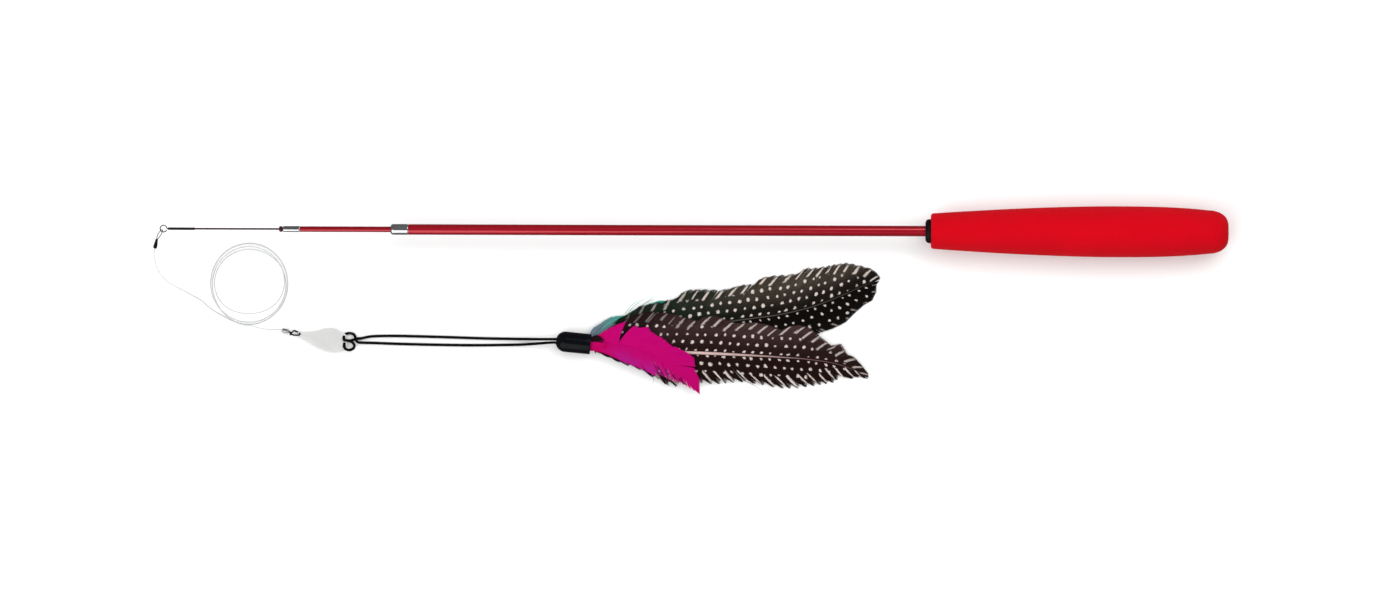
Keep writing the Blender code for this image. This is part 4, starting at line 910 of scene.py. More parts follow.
def make_tab():
    """A flat sheet with rounded rims, cut from one outline and the rims of its three holes."""
    rim = 0.14
    outline = through([*TAB_OUTLINE, TAB_OUTLINE[0]], 10)[:-1]
    loops = [[(TAB_EYE[0] + x, TAB_EYE[1] + y) for x, y in outline]]
    loops.append(arc(TAB_EYE, (0.9, 0.9), 0, 360, 41)[:-1])
    for x, y, _ in on_wand(KNOT_HOLES):
        loops.append(arc((x, y), (0.95, 1.42), 0, 360, 41)[:-1])
    curve = bpy.data.curves.new("tab_outline", "CURVE")
    curve.dimensions = "2D"
    curve.fill_mode = "BOTH"
    for loop in loops:
        spline = curve.splines.new("POLY")
        spline.points.add(len(loop) - 1)
        for point, (x, y) in zip(spline.points, loop):
            point.co = (x * MM, y * MM, 0.0, 1.0)
        spline.use_cyclic_u = True
    curve.bevel_depth = rim * MM
    curve.bevel_resolution = 3
    curve.offset = -rim * MM
    curve.extrude = (TAB_THICK / 2 - rim) * MM
    mesh = flattened(in_scene("tab_outline", curve))
    mesh.transform(Matrix.Translation((0.0, 0.0, TAB_MIDDLE * MM)))
    closed(mesh, 40.0, merge=0.000002)
    fitted(new_object("milky_tab", mesh, tab_finish()), "lure", "white_tab", "lure_tab")


def flattened(obj):
    """The evaluated object as a plain mesh. The object itself is removed."""
    graph = bpy.context.evaluated_depsgraph_get()
    mesh = bpy.data.meshes.new_from_object(obj.evaluated_get(graph), depsgraph=graph)
    bpy.data.objects.remove(obj)
    return mesh


CAP_MOUTH = Vector((-54.883, -23.846, 5.573))
CAP_OUT = Vector((0.99556, -0.09411, 0.0))
CAP_SIDE = Vector((0.09411, 0.99556, 0.0))


def make_cap():
    """A domed cap with a hole for the elastic, a faint groove near its mouth and a rounded lip."""
    radius = 5.6
    black = moulded_finish("black_cap_plastic", (0.002, 0.0026, 0.0038), 0.13, 0.0012, gloss=0.1)
    line = [(1.85, 14.5), (1.85, 19.0)]
    line += arc((0.0, 14.1), (radius, 5.2), math.degrees(math.acos(1.95 / radius)), 0.0, 20)
    line += [(radius, 1.3), (5.55, 1.15), (5.55, 0.95), (radius, 0.8), (radius, 0.5)]
    line += arc((5.3, 0.3), (0.3, 0.3), 0, -90, 5)
    line += [(4.6, 0.0), (4.5, 0.1), (4.5, 13.5), (3.8, 14.5)]
    cap = lathe("cap_shell", line, 96, black, CAP_MOUTH, -CAP_OUT)
    fitted(cap, "lure", "black_gloss", "lure_cap")


# Feathers, in mm in the frame's axes and degrees. Of each one:
# seat and quill: its place in the cap, sideways and up, and its quill's radius; stem: radii by run
# shaft, left, right: its shaft's line and the vane's two outlines from the cap to the tip
# start: the run at which its barbs start; slant: (share of the vane, degrees from the shaft)
# tilt, crown: how far barbs fall at each side for each mm of reach, and how far they bow up
# fray, loose: how much shorter, and how many degrees off, a lock of barbs may be
# comb: depth of the even teeth of each edge; fringe: how much shorter the outer right barbs may be
# lap, sunk: how far barbs start inside the shaft, and how deep the shaft lies in its vane
# cut, steep: up to this run the left barbs stand at this slant

FEATHERS = {
    "teal_feather": {
        "seat": (2.9, -0.2),
        "quill": 0.6,
        "shaft": [
            (-50.9, -18.0, 4.6), (-46.5, -13.5, 3.1), (-41.0, -10.0, 1.9), (-30.5, -6.5, 1.1),
            (-14.6, -0.9, 0.8),
        ],
        "start": 2.0,
        "left": [
            (-55.8, -19.3), (-54.7, -17.2), (-51.4, -13.8), (-47.6, -10.9), (-43.5, -8.6), (-40.5, -8.2),
            (-36.0, -8.0), (-30.0, -5.5), (-24.0, -2.2), (-20.0, -0.5), (-16.5, 0.6), (-13.0, 0.2),
        ],
        "right": [
            (-54.7, -24.2), (-49.8, -21.5), (-42.2, -16.6), (-34.0, -10.6), (-25.8, -6.9), (-19.5, -3.6),
            (-13.0, -0.6),
        ],
        "slant": ((0.0, 44), (0.86, 26)),
        "tilt": (-0.02, -0.02),
        "crown": 0.2,
        "fray": 0.16,
        "loose": 5.0,
    },
    "upper_guinea_feather": {
        "seat": (0.7, -2.2),
        "quill": 0.9,
        "shaft": [
            (-46.9, -21.7, 3.2), (-24.9, -18.1, 2.7), (5.1, -13.4, 2.3), (35.1, -9.2, 2.0),
            (49.1, -7.2, 1.9), (67.1, -2.8, 1.6), (82.1, 2.9, 1.2), (95.1, 8.7, 0.75),
            (101.5, 11.0, 0.6),
        ],
        "start": 7.0,
        "left": [
            (-54.2, -21.5), (-46.5, -14.9), (-38.8, -9.3), (-33.4, -6.2), (-28.1, -2.7), (-21.7, -0.9),
            (-15.2, -0.1), (-6.7, 2.4), (-4.5, 5.1), (-2.4, 6.4), (1.9, 7.0), (10.4, 6.7), (16.9, 6.5),
            (23.3, 7.9), (27.5, 9.3), (36.1, 9.7), (38.3, 12.9), (44.7, 14.4), (53.2, 14.9), (60.8, 16.2),
            (62.9, 18.7), (68.2, 18.7), (74.6, 19.8), (81.1, 20.9), (85.9, 21.7), (91.8, 20.6),
            (97.1, 19.1), (100.3, 18.1), (103.6, 15.1), (104.8, 12.4),
        ],
        "right": [
            (-54.2, -24.8), (-46.5, -27.0), (-27.8, -30.2), (-5.8, -31.2), (16.2, -29.0), (38.2, -24.5),
            (54.7, -21.1), (65.7, -18.9), (72.0, -17.1), (78.9, -14.9), (85.4, -11.7), (88.5, -8.5),
            (91.8, -5.3), (96.1, -1.5), (100.3, 0.6), (102.5, 5.4), (102.5, 9.7), (104.8, 12.4),
        ],
        "slant": ((0.0, 61), (0.86, 43)),
        "tilt": (-0.03, -0.055),
        "crown": 0.3,
        "fray": 0.025,
        "loose": 0.8,
        "comb": (0.03, 0.0),
    },
    "lower_guinea_feather": {
        "seat": (-2.0, -0.2),
        "quill": 0.9,
        "shaft": [
            (-46.9, -27.0, 5.2), (-24.9, -28.1, 4.8), (3.1, -28.4, 4.2), (27.1, -29.4, 3.6),
            (49.1, -30.6, 3.0), (65.1, -31.8, 2.5), (81.1, -34.4, 1.9), (92.0, -38.4, 1.2),
            (96.5, -41.2, 0.9),
        ],
        "start": 2.0,
        "left": [
            (-54.2, -24.2), (-49.8, -19.3), (-43.2, -13.7), (-36.0, -9.9), (-25.0, -6.0), (-12.9, -5.9),
            (-5.2, -8.1), (4.1, -10.8), (6.9, -8.9), (14.0, -7.5), (24.5, -11.9), (36.0, -11.3),
            (43.2, -12.9), (50.3, -15.6), (54.7, -13.7), (60.2, -12.9), (65.7, -14.5), (70.7, -18.3),
            (77.8, -24.1), (83.3, -23.2), (86.6, -29.0), (90.2, -30.4), (94.3, -34.7), (97.9, -39.5),
            (98.3, -42.7),
        ],
        "right": [
            (-52.1, -28.1), (-36.7, -35.2), (-29.0, -37.4), (-12.9, -46.4), (-8.1, -47.2), (5.2, -45.2),
            (13.7, -46.0), (27.8, -44.6), (36.6, -45.9), (41.8, -46.5), (48.7, -48.1), (59.1, -48.1),
            (69.9, -46.6), (80.4, -44.4), (82.5, -40.8), (87.4, -43.0), (93.0, -41.6), (98.3, -42.7),
        ],
        "slant": ((0.0, 61), (0.86, 44)),
        "tilt": (-0.02, -0.11),
        "crown": 0.3,
        "fray": 0.035,
        "loose": 1.0,
        "comb": (0.0, 0.12),
        "stem": ((0.0, 0.84), (60.0, 0.84), (75.0, 0.74), (95.0, 0.48), (115.0, 0.30), (155.0, 0.13)),
    },
    "magenta_feather": {
        "seat": (0.3, 2.2),
        "quill": 0.6,
        "shaft": [
            (-44.3, -23.1, 7.7), (-30.5, -25.3, 7.2), (-15.7, -31.9, 6.6), (-4.7, -40.2, 6.0),
            (3.0, -48.6, 5.2),
        ],
        "start": 1.0,
        "left": [
            (-56.4, -24.2), (-52.0, -19.3), (-47.6, -16.0), (-41.0, -12.6), (-33.3, -9.9), (-32.7, -12.1),
            (-27.8, -14.2), (-22.8, -13.7), (-21.2, -16.4), (-14.3, -19.7), (-9.1, -24.1), (-1.4, -27.9),
            (2.5, -30.9), (3.3, -38.3), (5.5, -42.2), (5.8, -52.5),
        ],
        "right": [
            (-54.5, -26.4), (-45.4, -30.3), (-35.2, -35.2), (-24.5, -39.5), (-15.7, -43.4), (-9.1, -45.5),
            (-1.4, -48.3), (0.8, -49.4), (5.8, -52.5),
        ],
        "slant": ((0.0, 56), (0.24, 54), (0.86, 26)),
        "lap": 0.5,
        "sunk": 0.5,
        "cut": 15.5,
        "steep": 76,
        "fringe": 0.55,
        "tilt": (-0.02, -0.03),
        "crown": 0.35,
        "fray": 0.10,
        "loose": 2.0,
    },
}


def in_cap(depth, seat):
    """A place in the cap, so far in from its mouth and sideways and up by the quill's seat."""
    return CAP_MOUTH - CAP_OUT * depth + CAP_SIDE * seat[0] + Vector((0.0, 0.0, seat[1]))


COMB_PITCH = 4.692  # from one tooth of a combed edge to the next, in mm
LOCK = (8, 26)  # how many neighbouring barbs keep together
LIFT = 0.22  # how high a lock may stand off its vane, in mm
LOW = 0.22  # how near the floor a barb may come, in mm
LAYER = 0.05  # step in height between neighbouring barbs, in mm, so that no two share a plane
BOW = math.radians(11)  # how much steeper a barb leaves its shaft than it ends
TIP_SLANT = 7.0


def shaft_path(feather):
    """The shaft's line every half millimetre, and its run, which is 0 at the cap's mouth."""
    seat = feather["seat"]
    route = [tuple(in_cap(d, seat)) for d in (9.0, 4.5, 0.0)] + feather["shaft"]
    points = spaced(through(route, 16), 0.5)
    return points, runs(points) - 9.0


def reach_to(outline, place, way):
    """How far a straight barb goes from its root to the vane's outline, or None if it misses."""
    best = None
    for (ax, ay), (bx, by) in zip(outline, outline[1:]):
        ex, ey = bx - ax, by - ay
        cross = way[0] * ey - way[1] * ex
        if abs(cross) < 1e-9:
            continue
        dx, dy = ax - place[0], ay - place[1]
        along = (dx * ey - dy * ex) / cross
        share = (dx * way[1] - dy * way[0]) / cross
        if along > 0.2 and -0.001 <= share <= 1.001 and (best is None or along < best):
            best = along
    return best


def barb_rows(feather, pitch, seed):
    """One row of numbers for each barb: its root, control point, tip, axes, widths, run and tone."""
    points, run = shaft_path(feather)
    chance = np.random.default_rng(seed)
    end = float(run[-1])
    rows = []
    for side, outline, tilt in zip((1, -1), (feather["left"], feather["right"]), feather["tilt"]):
        last_reach = 3.0
        left_in_group = 0
        made = []
        for at in np.arange(feather["start"], end, pitch):
            if left_in_group == 0:
                left_in_group = int(chance.integers(*LOCK))
                swing = chance.normal(0, feather["loose"])
                lift, tone = chance.uniform(0, LIFT), chance.uniform(0, 1)
                short = chance.uniform(0, feather["fray"])
            left_in_group -= 1
            place = at_run(at, run, points)
            ahead = (at_run(at + 1.5, run, points) - at_run(at - 1.5, run, points))[:2]
            ahead = ahead / np.linalg.norm(ahead)
            out = np.array((-ahead[1], ahead[0])) * side
            share = (at - feather["start"]) / (end - feather["start"])
            slant = np.interp(share, *zip(*feather["slant"], (1.0, TIP_SLANT)))
            if side > 0 and at < feather.get("cut", 0.0):
                slant = feather["steep"]
            angle = math.radians(slant + swing * min(1.0, 3 * (1 - share)))
            way = ahead * math.cos(angle) + out * math.sin(angle)
            reach = reach_to(outline, place, way)
            reach = last_reach if reach is None else reach
            last_reach = reach
            reach *= 1 - short * chance.uniform(0.2, 1.0)
            if side < 0 and share > 0.45:
                reach *= 1 - feather.get("fringe", 0.0) * chance.uniform() ** 2
            comb = feather.get("comb", (0.0, 0.0))[side < 0]
            reach *= 1 - comb * 0.5 * (1 + math.cos(math.tau * at / COMB_PITCH))
            steep = angle + BOW
            early = ahead * math.cos(steep) + out * math.sin(steep)
            fall = max(tilt * reach, LOW - place[2])
            root = place[:2] - out * feather.get("lap", 0.0)
            step = LAYER * (len(made) % 3)
            crown = feather["crown"] + fall * 0.4 + lift
            made.append(
                {
                    "root": (*root, place[2] + step),
                    "tip": (way[0] * reach, way[1] * reach, fall + lift),
                    "bend": (early[0] * reach * 0.5, early[1] * reach * 0.5, crown),
                    "ahead": (ahead[0], ahead[1], 0.0),
                    "out": (out[0], out[1], 0.0),
                    "run": float(at),
                    "reach": float(reach),
                    "tone": float(np.clip(0.75 * tone + 0.25 * chance.uniform(), 0, 1)),
                    "side": side,
                }
            )
        for one, two in zip(made, made[1:] + made[-1:]):
            tips = np.subtract(np.add(one["root"], one["tip"]), np.add(two["root"], two["tip"]))[:2]
            way = np.array(one["tip"][:2]) / np.linalg.norm(one["tip"][:2])
            spread = abs(float(tips[0] * way[1] - tips[1] * way[0]))
            root = pitch * abs(float(np.dot(way, one["out"][:2]))) + 0.06
            one["wide"] = (root * 0.95, min(max(spread, 0.16), 1.1) * 0.85, 0.0)
        rows += made
    return rows


def stray(root, tip, wide=0.16, tone=0.4, run=30.0):
    """One loose barb that stands clear of the vane."""
    root, tip = np.array(root, dtype=float), np.array(tip, dtype=float)
    way = tip - root
    flat_way = way[:2] / np.linalg.norm(way[:2])
    side = np.array((-flat_way[1], flat_way[0]))
    bend = way * 0.5 + np.array((*side * 0.12 * np.linalg.norm(way), 0.2))
    return {
        "root": tuple(root),
        "tip": tuple(way),
        "bend": tuple(bend),
        "ahead": (*flat_way, 0.0),
        "out": (*side, 0.0),
        "run": run,
        "reach": float(np.linalg.norm(way)),
        "tone": tone,
        "wide": (wide, wide * 0.6, 0.0),
    }


def tuft(seed, count, roots, tips, wide=0.45, run=2.0):
    """Down at a quill's foot: loose barbs from one line of points to another."""
    chance = np.random.default_rng(seed)

    def place(line, share, sway):
        line = np.array(line, dtype=float)
        spot = at_run(share * (len(line) - 1), range(len(line)), line)
        return spot + chance.normal(0, sway, 3) * (1.0, 1.0, 0.25)

    rows = []
    for share in np.linspace(0, 1, count):
        root, tip = place(roots, share, 0.1), place(tips, share, 0.5)
        rows.append(stray(root, tip, wide, chance.uniform(0, 1), run))
    return rows


def barb_tree():
    """Instances one three-sided barb on every root, then bends, widens and maps each one."""
    tree = bpy.data.node_groups.new("feather_barbs", "GeometryNodeTree")
    for name, kind, default in (
        ("Roots", "NodeSocketGeometry", None),
        ("Thickness", "NodeSocketFloat", 0.12),
        ("Taper", "NodeSocketFloat", 0.7),
        ("Segments", "NodeSocketInt", 9),
        ("Finish", "NodeSocketMaterial", None),
    ):
        socket = tree.interface.new_socket(name, in_out="INPUT", socket_type=kind)
        if default is not None:
            socket.default_value = default
    tree.interface.new_socket("Barbs", in_out="OUTPUT", socket_type="NodeSocketGeometry")
    w = Wiring(tree)
    inlet = tree.nodes.new("NodeGroupInput").outputs
    outlet = tree.nodes.new("NodeGroupOutput").inputs

    def stored(name, kind="FLOAT_VECTOR"):
        node = tree.nodes.new("GeometryNodeInputNamedAttribute")
        node.data_type = kind
        node.inputs["Name"].default_value = name
        return next(s for s in node.outputs if s.enabled and s.name == "Attribute")

    def store(geometry, name, value, kind, domain):
        node = tree.nodes.new("GeometryNodeStoreNamedAttribute")
        node.data_type = kind
        node.domain = domain
        w.put(node.inputs["Geometry"], geometry)
        node.inputs["Name"].default_value = name
        w.put(next(s for s in node.inputs if s.enabled and s.name == "Value"), value)
        return node.outputs[0]

    def stretched(vector, by):
        return w.add("ShaderNodeVectorMath", vector, operation="SCALE", named={"Scale": by})

    stick = w.add(
        "GeometryNodeMeshCylinder",
        fill_type="NGON",
        named={"Vertices": 3, "Side Segments": inlet["Segments"], "Radius": 1.0, "Depth": 1.0},
    )
    stick = store(stick, "stick", w.add("GeometryNodeInputPosition"), "FLOAT_VECTOR", "POINT")
    rows = w.add("GeometryNodeInstanceOnPoints", named={"Points": inlet["Roots"], "Instance": stick})
    barbs = w.add("GeometryNodeRealizeInstances", named={"Geometry": rows})

    section = stored("stick")
    x, y, z = w.parted(section)
    share = w.plus(z, 0.5)
    back = w.minus(1.0, share)
    bow = w.times(w.times(share, back), 2.0)
    square = w.times(share, share)
    line = w.vector("ADD", stretched(stored("bend"), bow), stretched(stored("tip"), square))
    turn = w.minus(1.0, w.times(share, 2.0))
    heading = w.vector("ADD", stretched(stored("bend"), turn), stretched(stored("tip"), share))
    across = w.vector("NORMALIZE", w.vector("CROSS_PRODUCT", (0.0, 0.0, 1.0), heading))
    root_wide, tip_wide, _ = w.parted(stored("wide"))
    wide = w.math("MULTIPLY_ADD", w.minus(tip_wide, root_wide), share, root_wide)
    narrow = w.times(w.math("POWER", share, 6.0), inlet["Taper"])
    wide = w.times(wide, w.minus(1.0, narrow))
    height = w.times(y, inlet["Thickness"])
    height = w.plus(height, w.times(x, w.times(inlet["Thickness"], 0.5)))
    rise = w.add("ShaderNodeCombineXYZ", 0.0, 0.0, height)
    offset = w.vector("ADD", stretched(across, w.times(x, wide)), rise)
    here = w.vector("SUBTRACT", w.add("GeometryNodeInputPosition"), section)
    place = w.vector("ADD", here, stretched(w.vector("ADD", line, offset), MM))
    barbs = w.add("GeometryNodeSetPosition", named={"Geometry": barbs, "Position": place})

    ahead = w.vector("DOT_PRODUCT", line, stored("ahead"), out=1)
    sideways = w.vector("DOT_PRODUCT", line, stored("out"), out=1)
    run = stored("run", "FLOAT")
    reach = stored("reach", "FLOAT")
    sideways = w.times(sideways, stored("side", "FLOAT"))
    flat = w.add("ShaderNodeCombineXYZ", w.plus(run, ahead), sideways, 0.0)
    barbs = store(barbs, "UVMap", flat, "FLOAT2", "CORNER")
    along = w.times(reach, share)
    barb = w.add("ShaderNodeCombineXYZ", run, along, w.minus(reach, along))
    barbs = store(barbs, "barb", barb, "FLOAT_VECTOR", "POINT")
    done = w.add("GeometryNodeSetMaterial", named={"Geometry": barbs, "Material": inlet["Finish"]})
    w.put(outlet[0], done)
    return tree


def make_vane(name, rows, tree, looks, finish):
    """One point for each barb's root, which the node tree turns into barbs."""
    mesh = bpy.data.meshes.new(name + "_roots")
    mesh.from_pydata([tuple(Vector(r["root"]) * MM) for r in rows], [], [])
    for field in ("tip", "bend", "ahead", "out", "wide"):
        layer = mesh.attributes.new(field, "FLOAT_VECTOR", "POINT")
        layer.data.foreach_set("vector", np.array([r[field] for r in rows], dtype=np.float32).ravel())
    for field in ("run", "reach", "tone", "side"):
        layer = mesh.attributes.new(field, "FLOAT", "POINT")
        layer.data.foreach_set("value", np.array([r.get(field, 1.0) for r in rows], dtype=np.float32))
    roots = in_scene(name + "_roots", mesh)
    barbs = roots.modifiers.new("Barbs", "NODES")
    barbs.node_group = tree
    values = {"Thickness": looks.barb_thick / MM, "Taper": 0.45, "Segments": 9, "Finish": finish}
    for item in tree.interface.items_tree:
        if item.item_type == "SOCKET" and item.in_out == "INPUT" and item.name in values:
            barbs[item.identifier] = values[item.name]
    vane = flattened(roots)
    for unused in ("tip", "bend", "ahead", "out", "wide", "run", "reach", "side", "stick"):
        if unused in vane.attributes:
            vane.attributes.remove(vane.attributes[unused])
    return new_object(name, vane, finish)


def make_shaft(name, feather, finish):
    """A quill that starts in the cap and thins towards the tip, sunk a little into the vane."""
    points, run = shaft_path(feather)
    points, run = points[run > -8.8], run[run > -8.8]
    quill, tip = feather["quill"] * 0.92, 0.13
    share = np.clip((run - 2.0) / (run[-1] - 2.0), 0, 1)
    radii = quill + (tip - quill) * share**0.8
    if "stem" in feather:
        radii = np.interp(run, *zip(*feather["stem"]))
    sunk = feather.get("sunk", 0.0) * np.clip(run / 3.0, 0, 1)
    points = points + np.outer(radii * 0.25 - sunk, (0.0, 0.0, 1.0))
    return tube(name, points[::2], radii[::2], finish, 12)


def make_feathers(looks):
    tree = barb_tree()
    dark = spotted_finish(
        "dark_spotted_vane",
        looks,
        inner=(0.0028, 0.0020, 0.0017),
        left=(0.060, 0.048, 0.036),
        right=(0.0045, 0.0034, 0.0030),
        base=(0.0022, 0.0120, 0.0068),
        base_run=100.0,
        edge=(7.4, 3.2),
        dots=(0.93, 0.80),
        bars=((0.9, 5.0, 1.3), (0.4, 1.6, 1.35)),
    )
    brown = spotted_finish(
        "brown_spotted_vane",
        looks,
        inner=(0.0125, 0.0042, 0.0040),
        left=(0.049, 0.026, 0.026),
        right=(0.0095, 0.0040, 0.0034),
        base=(0.010, 0.0026, 0.0055),
        base_run=50.0,
        edge=(7.8, 6.4),
        dots=(0.86, 0.96),
        bars=((0.66, 5.4, 1.2), (1.0, 6.2, 1.28)),
    )
    magenta = dyed_finish(
        "magenta_vane",
        looks.magenta,
        left=(0.41, 0.0, 0.125),
        right=(0.36, 0.008, 0.19),
        deep=(0.24, 0.0, 0.09),
        base=(0.40, 0.0, 0.085),
        base_run=12.0,
        tips=0.45,
    )
    teal = dyed_finish(
        "teal_vane",
        looks.teal,
        left=(0.10, 0.40, 0.33),
        right=(0.03, 0.14, 0.12),
        deep=(0.02, 0.10, 0.08),
        base=(0.12, 0.135, 0.19),
        base_run=22.0,
    )
    horn = shaft_finish("brown_shaft", (0.54, 0.385, 0.365), (0.10, 0.05, 0.045), 108.0)
    coal = shaft_finish("dark_shaft", (0.06, 0.05, 0.045), (0.05, 0.044, 0.038), 60.0)
    pink = shaft_finish("magenta_shaft", (0.34, 0.0, 0.07), (0.40, 0.0, 0.12), 20.0)
    green = shaft_finish("teal_shaft", (0.13, 0.14, 0.18), (0.08, 0.32, 0.26), 16.0)
    finishes = {
        "teal_feather": (teal, green, "teal_vane"),
        "upper_guinea_feather": (dark, coal, "dark_guinea_vane"),
        "lower_guinea_feather": (brown, horn, "brown_guinea_vane"),
        "magenta_feather": (magenta, pink, "magenta_vane"),
    }
    loose = {
        "magenta_feather": tuft(
            31,
            46,
            [(-55.8, -27.4, 7.0), (-55.6, -25.0, 8.6), (-55.4, -22.6, 8.7)],
            [(-50.2, -28.2, 6.8), (-46.5, -26.6, 7.9), (-45.8, -23.6, 8.3), (-48.6, -20.4, 7.9)],
        ),
        "teal_feather": [
            *tuft(
                32,
                24,
                [(-55.2, -19.9, 5.2), (-55.3, -20.6, 6.4)],
                [(-53.9, -17.4, 4.6), (-52.2, -14.6, 4.3), (-49.8, -13.2, 4.2), (-48.6, -15.4, 4.6)],
            ),
            stray((-36.0, -7.0, 1.6), (-27.0, 1.6, 2.0)),
            stray((-34.0, -6.0, 1.6), (-22.5, 2.6, 2.0)),
            stray((-30.0, -5.0, 1.4), (-19.0, 1.2, 1.8)),
            stray((-28.0, -4.5, 1.4), (-16.5, 4.0, 2.0)),
        ],
        "lower_guinea_feather": [
            *tuft(
                33,
                22,
                [(-55.4, -22.4, 9.0), (-55.2, -20.6, 8.0)],
                [(-47.6, -22.4, 8.7), (-48.6, -20.6, 8.6), (-50.6, -18.8, 8.0)],
                0.4,
            ),
            stray((24.0, -42.0, 3.0), (40.0, -49.6, 1.6), 0.2, 0.8),
            stray((-22.0, -36.0, 3.4), (-16.0, -41.0, 2.4), 0.2, 0.8),
            stray((-30.0, -35.0, 3.4), (-20.5, -42.5, 2.2), 0.2, 0.8),
            stray((-20.5, -35.8, 3.4), (-11.6, -46.7, 2.0), 0.5, 0.9),
            stray((-20.0, -35.2, 3.4), (-12.4, -46.2, 2.0), 0.4, 0.9),
            stray((-15.6, -37.4, 3.2), (-8.0, -47.5, 1.8), 0.5, 0.9),
            stray((-21.8, -38.6, 3.2), (-20.1, -45.6, 1.8), 0.12, 0.2),
        ],
    }
    for number, (node, feather) in enumerate(FEATHERS.items()):
        finish, horny, slot = finishes[node]
        rows = barb_rows(feather, looks.barb_pitch / MM, looks.seed + number)
        rows += loose.get(node, [])
        vane = make_vane(node + "_vane", rows, tree, looks, finish)
        fitted(vane, "lure", slot, node)
        fitted(make_shaft(node + "_shaft", feather, horny), "lure", slot)


# Floor, lights and camera

PHOTO_MIDDLE = (0.00137, 0.00067)  # where the photo's middle lies on the floor
FLOOR_DROP = 0.0002  # how far the floor lies under the object


def softbox(name, place, size, power, mirrored=True):
    """A soft light aimed near the middle of the floor, in reflections only if it is mirrored."""
    light = bpy.data.lights.new(name, "AREA")
    light.shape = "RECTANGLE"
    light.size, light.size_y = size
    light.energy = power
    obj = in_scene(name, light)
    obj.location = place
    aim = Vector((place[0] * 0.6, 0.0, 0.0))
    obj.rotation_euler = (aim - Vector(place)).to_track_quat("-Z", "Y").to_euler()
    obj.visible_camera = False
    obj.visible_glossy = mirrored


def make_stage(looks):
    mesh = bpy.data.meshes.new("floor")
    shape = bmesh.new()
    bmesh.ops.create_grid(shape, x_segments=8, y_segments=8, size=4.0)
    bmesh.ops.translate(shape, verts=shape.verts, vec=(0.0, 0.0, -FLOOR_DROP))
    shape.to_mesh(mesh)
    shape.free()
    floor = new_object("floor", mesh, floor_finish(tuple(looks.floor_colour)))
    floor.visible_glossy = False
    softbox("sky_light", (0.0, 0.35, 2.1), (4.0, 3.2), looks.key_power * 7.4, mirrored=False)
    softbox("key_light", (0.74, 0.72, 1.1), (1.4, 0.6), looks.key_power * 0.8)
    softbox("low_light", (-0.78, -0.8, 0.72), (1.5, 1.6), looks.key_power * 1.4)
    world = bpy.data.worlds.new("studio")
    world.use_nodes = True
    air = world.node_tree.nodes["Background"].inputs
    air[0].default_value = (1.0, 1.0, 1.0, 1.0)
    air[1].default_value = looks.air
    bpy.context.scene.world = world
    bpy.context.scene.view_settings.view_transform = "Standard"
    camera = bpy.data.cameras.new("camera")
    camera.lens = looks.lens
    camera.sensor_width = 36.0
    camera.clip_start, camera.clip_end = 0.1, 40.0
    obj = in_scene("camera", camera)
    obj.location = (*PHOTO_MIDDLE, looks.camera_height)
    obj.rotation_euler = (0.0, 0.0, looks.roll)
    bpy.context.scene.camera = obj


# Operators, panel and run


class MakeStage(bpy.types.Operator):
    """Pale floor, soft studio lights and the camera straight above"""

    bl_idname = "wand.stage"
    bl_label = "Stage"

    def execute(self, context):
        make_stage(context.scene.wand_stage)
        return {"FINISHED"}


class MakeLine(bpy.types.Operator):
    """The clear nylon line with its coil"""

    bl_idname = "wand.line"
    bl_label = "Line"

    def execute(self, context):
        make_line(context.scene.wand_cords)
        return {"FINISHED"}


class MakeElastic(bpy.types.Operator):
    """The braided elastic with its laced knot"""

    bl_idname = "wand.elastic"
    bl_label = "Elastic"

    def execute(self, context):
        make_elastic(context.scene.wand_cords)
        return {"FINISHED"}


class MakeGrip(bpy.types.Operator):
    """The foam grip and the collar at its front"""

    bl_idname = "wand.grip"
    bl_label = "Grip"

    def execute(self, context):
        make_grip(context.scene.wand_body)
        return {"FINISHED"}


class MakeOuterSection(bpy.types.Operator):
    """The outer tube and its ferrule"""

    bl_idname = "wand.outer_section"
    bl_label = "Outer section"

    def execute(self, context):
        make_tubes(context.scene.wand_body)
        return {"FINISHED"}


class MakeMiddleSection(bpy.types.Operator):
    """The middle tube, its ferrule and its nose"""

    bl_idname = "wand.middle_section"
    bl_label = "Middle section"

    def execute(self, context):
        make_middle(context.scene.wand_body)
        return {"FINISHED"}


class MakeTipSection(bpy.types.Operator):
    """The tip rod, its sleeve and the wire ring"""

    bl_idname = "wand.tip_section"
    bl_label = "Tip section"

    def execute(self, context):
        make_rod(context.scene.wand_body)
        make_ring()
        return {"FINISHED"}


class MakeTopFitting(bpy.types.Operator):
    """The snap and the black barrel under the tip ring"""

    bl_idname = "wand.top_fitting"
    bl_label = "Top fitting"

    def execute(self, context):
        make_top_snap()
        return {"FINISHED"}


class MakeLureFitting(bpy.types.Operator):
    """The bright barrel and the black snap at the lure"""

    bl_idname = "wand.lure_fitting"
    bl_label = "Lure fitting"

    def execute(self, context):
        make_lure_snap(context.scene.wand_body)
        return {"FINISHED"}


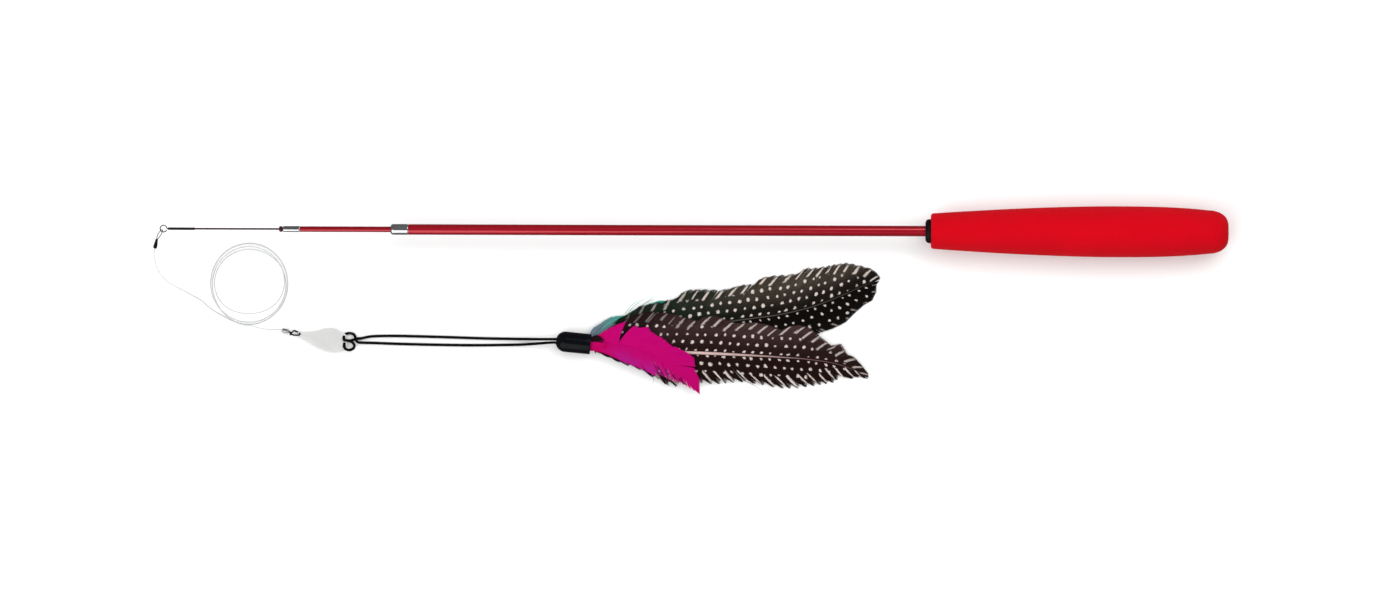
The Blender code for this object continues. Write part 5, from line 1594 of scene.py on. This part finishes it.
class MakeTab(bpy.types.Operator):
    """The milky tab with its three holes"""

    bl_idname = "wand.tab"
    bl_label = "Tab"

    def execute(self, context):
        make_tab()
        return {"FINISHED"}


class MakeCap(bpy.types.Operator):
    """The black cap that gathers the quills"""

    bl_idname = "wand.cap"
    bl_label = "Cap"

    def execute(self, context):
        make_cap()
        return {"FINISHED"}


class MakeFeathers(bpy.types.Operator):
    """The four feathers, each of barbs on a shaft"""

    bl_idname = "wand.feathers"
    bl_label = "Feathers"

    def execute(self, context):
        make_feathers(context.scene.wand_feathers)
        return {"FINISHED"}


class FinishInnerPieces(bpy.types.Operator):
    """The plugs, bushes and stopper inside the wand and the cap"""

    bl_idname = "wand.inner_pieces"
    bl_label = "Inner pieces"

    def execute(self, context):
        make_inner_pieces()
        return {"FINISHED"}


class WandPanel(bpy.types.Panel):
    bl_idname = "VIEW3D_PT_wand"
    bl_label = "Cat teaser wand"
    bl_space_type = "VIEW_3D"
    bl_region_type = "UI"
    bl_category = "Wand"

    def draw(self, context):
        for step in STEPS:
            self.layout.operator(step.bl_idname)
        for group in SETTINGS:
            looks = getattr(context.scene, group)
            for name in looks.__annotations__:
                self.layout.prop(looks, name)


SETTINGS = {
    "wand_stage": StageLooks,
    "wand_body": WandLooks,
    "wand_cords": CordLooks,
    "wand_feathers": FeatherLooks,
}
STEPS = (
    MakeStage,
    MakeLine,
    MakeElastic,
    MakeGrip,
    MakeOuterSection,
    MakeMiddleSection,
    MakeTipSection,
    MakeTopFitting,
    MakeLureFitting,
    MakeTab,
    MakeCap,
    MakeFeathers,
    FinishInnerPieces,
)


def register():
    for kind in (*SETTINGS.values(), *STEPS, WandPanel):
        bpy.utils.register_class(kind)
    for name, kind in SETTINGS.items():
        setattr(bpy.types.Scene, name, PointerProperty(type=kind))


def unregister():
    for name in SETTINGS:
        delattr(bpy.types.Scene, name)
    for kind in (WandPanel, *reversed(STEPS), *SETTINGS.values()):
        bpy.utils.unregister_class(kind)


def main():
    register()
    for step in STEPS:
        family, name = step.bl_idname.split(".")
        getattr(getattr(bpy.ops, family), name)()


if __name__ == "__main__":
    main()
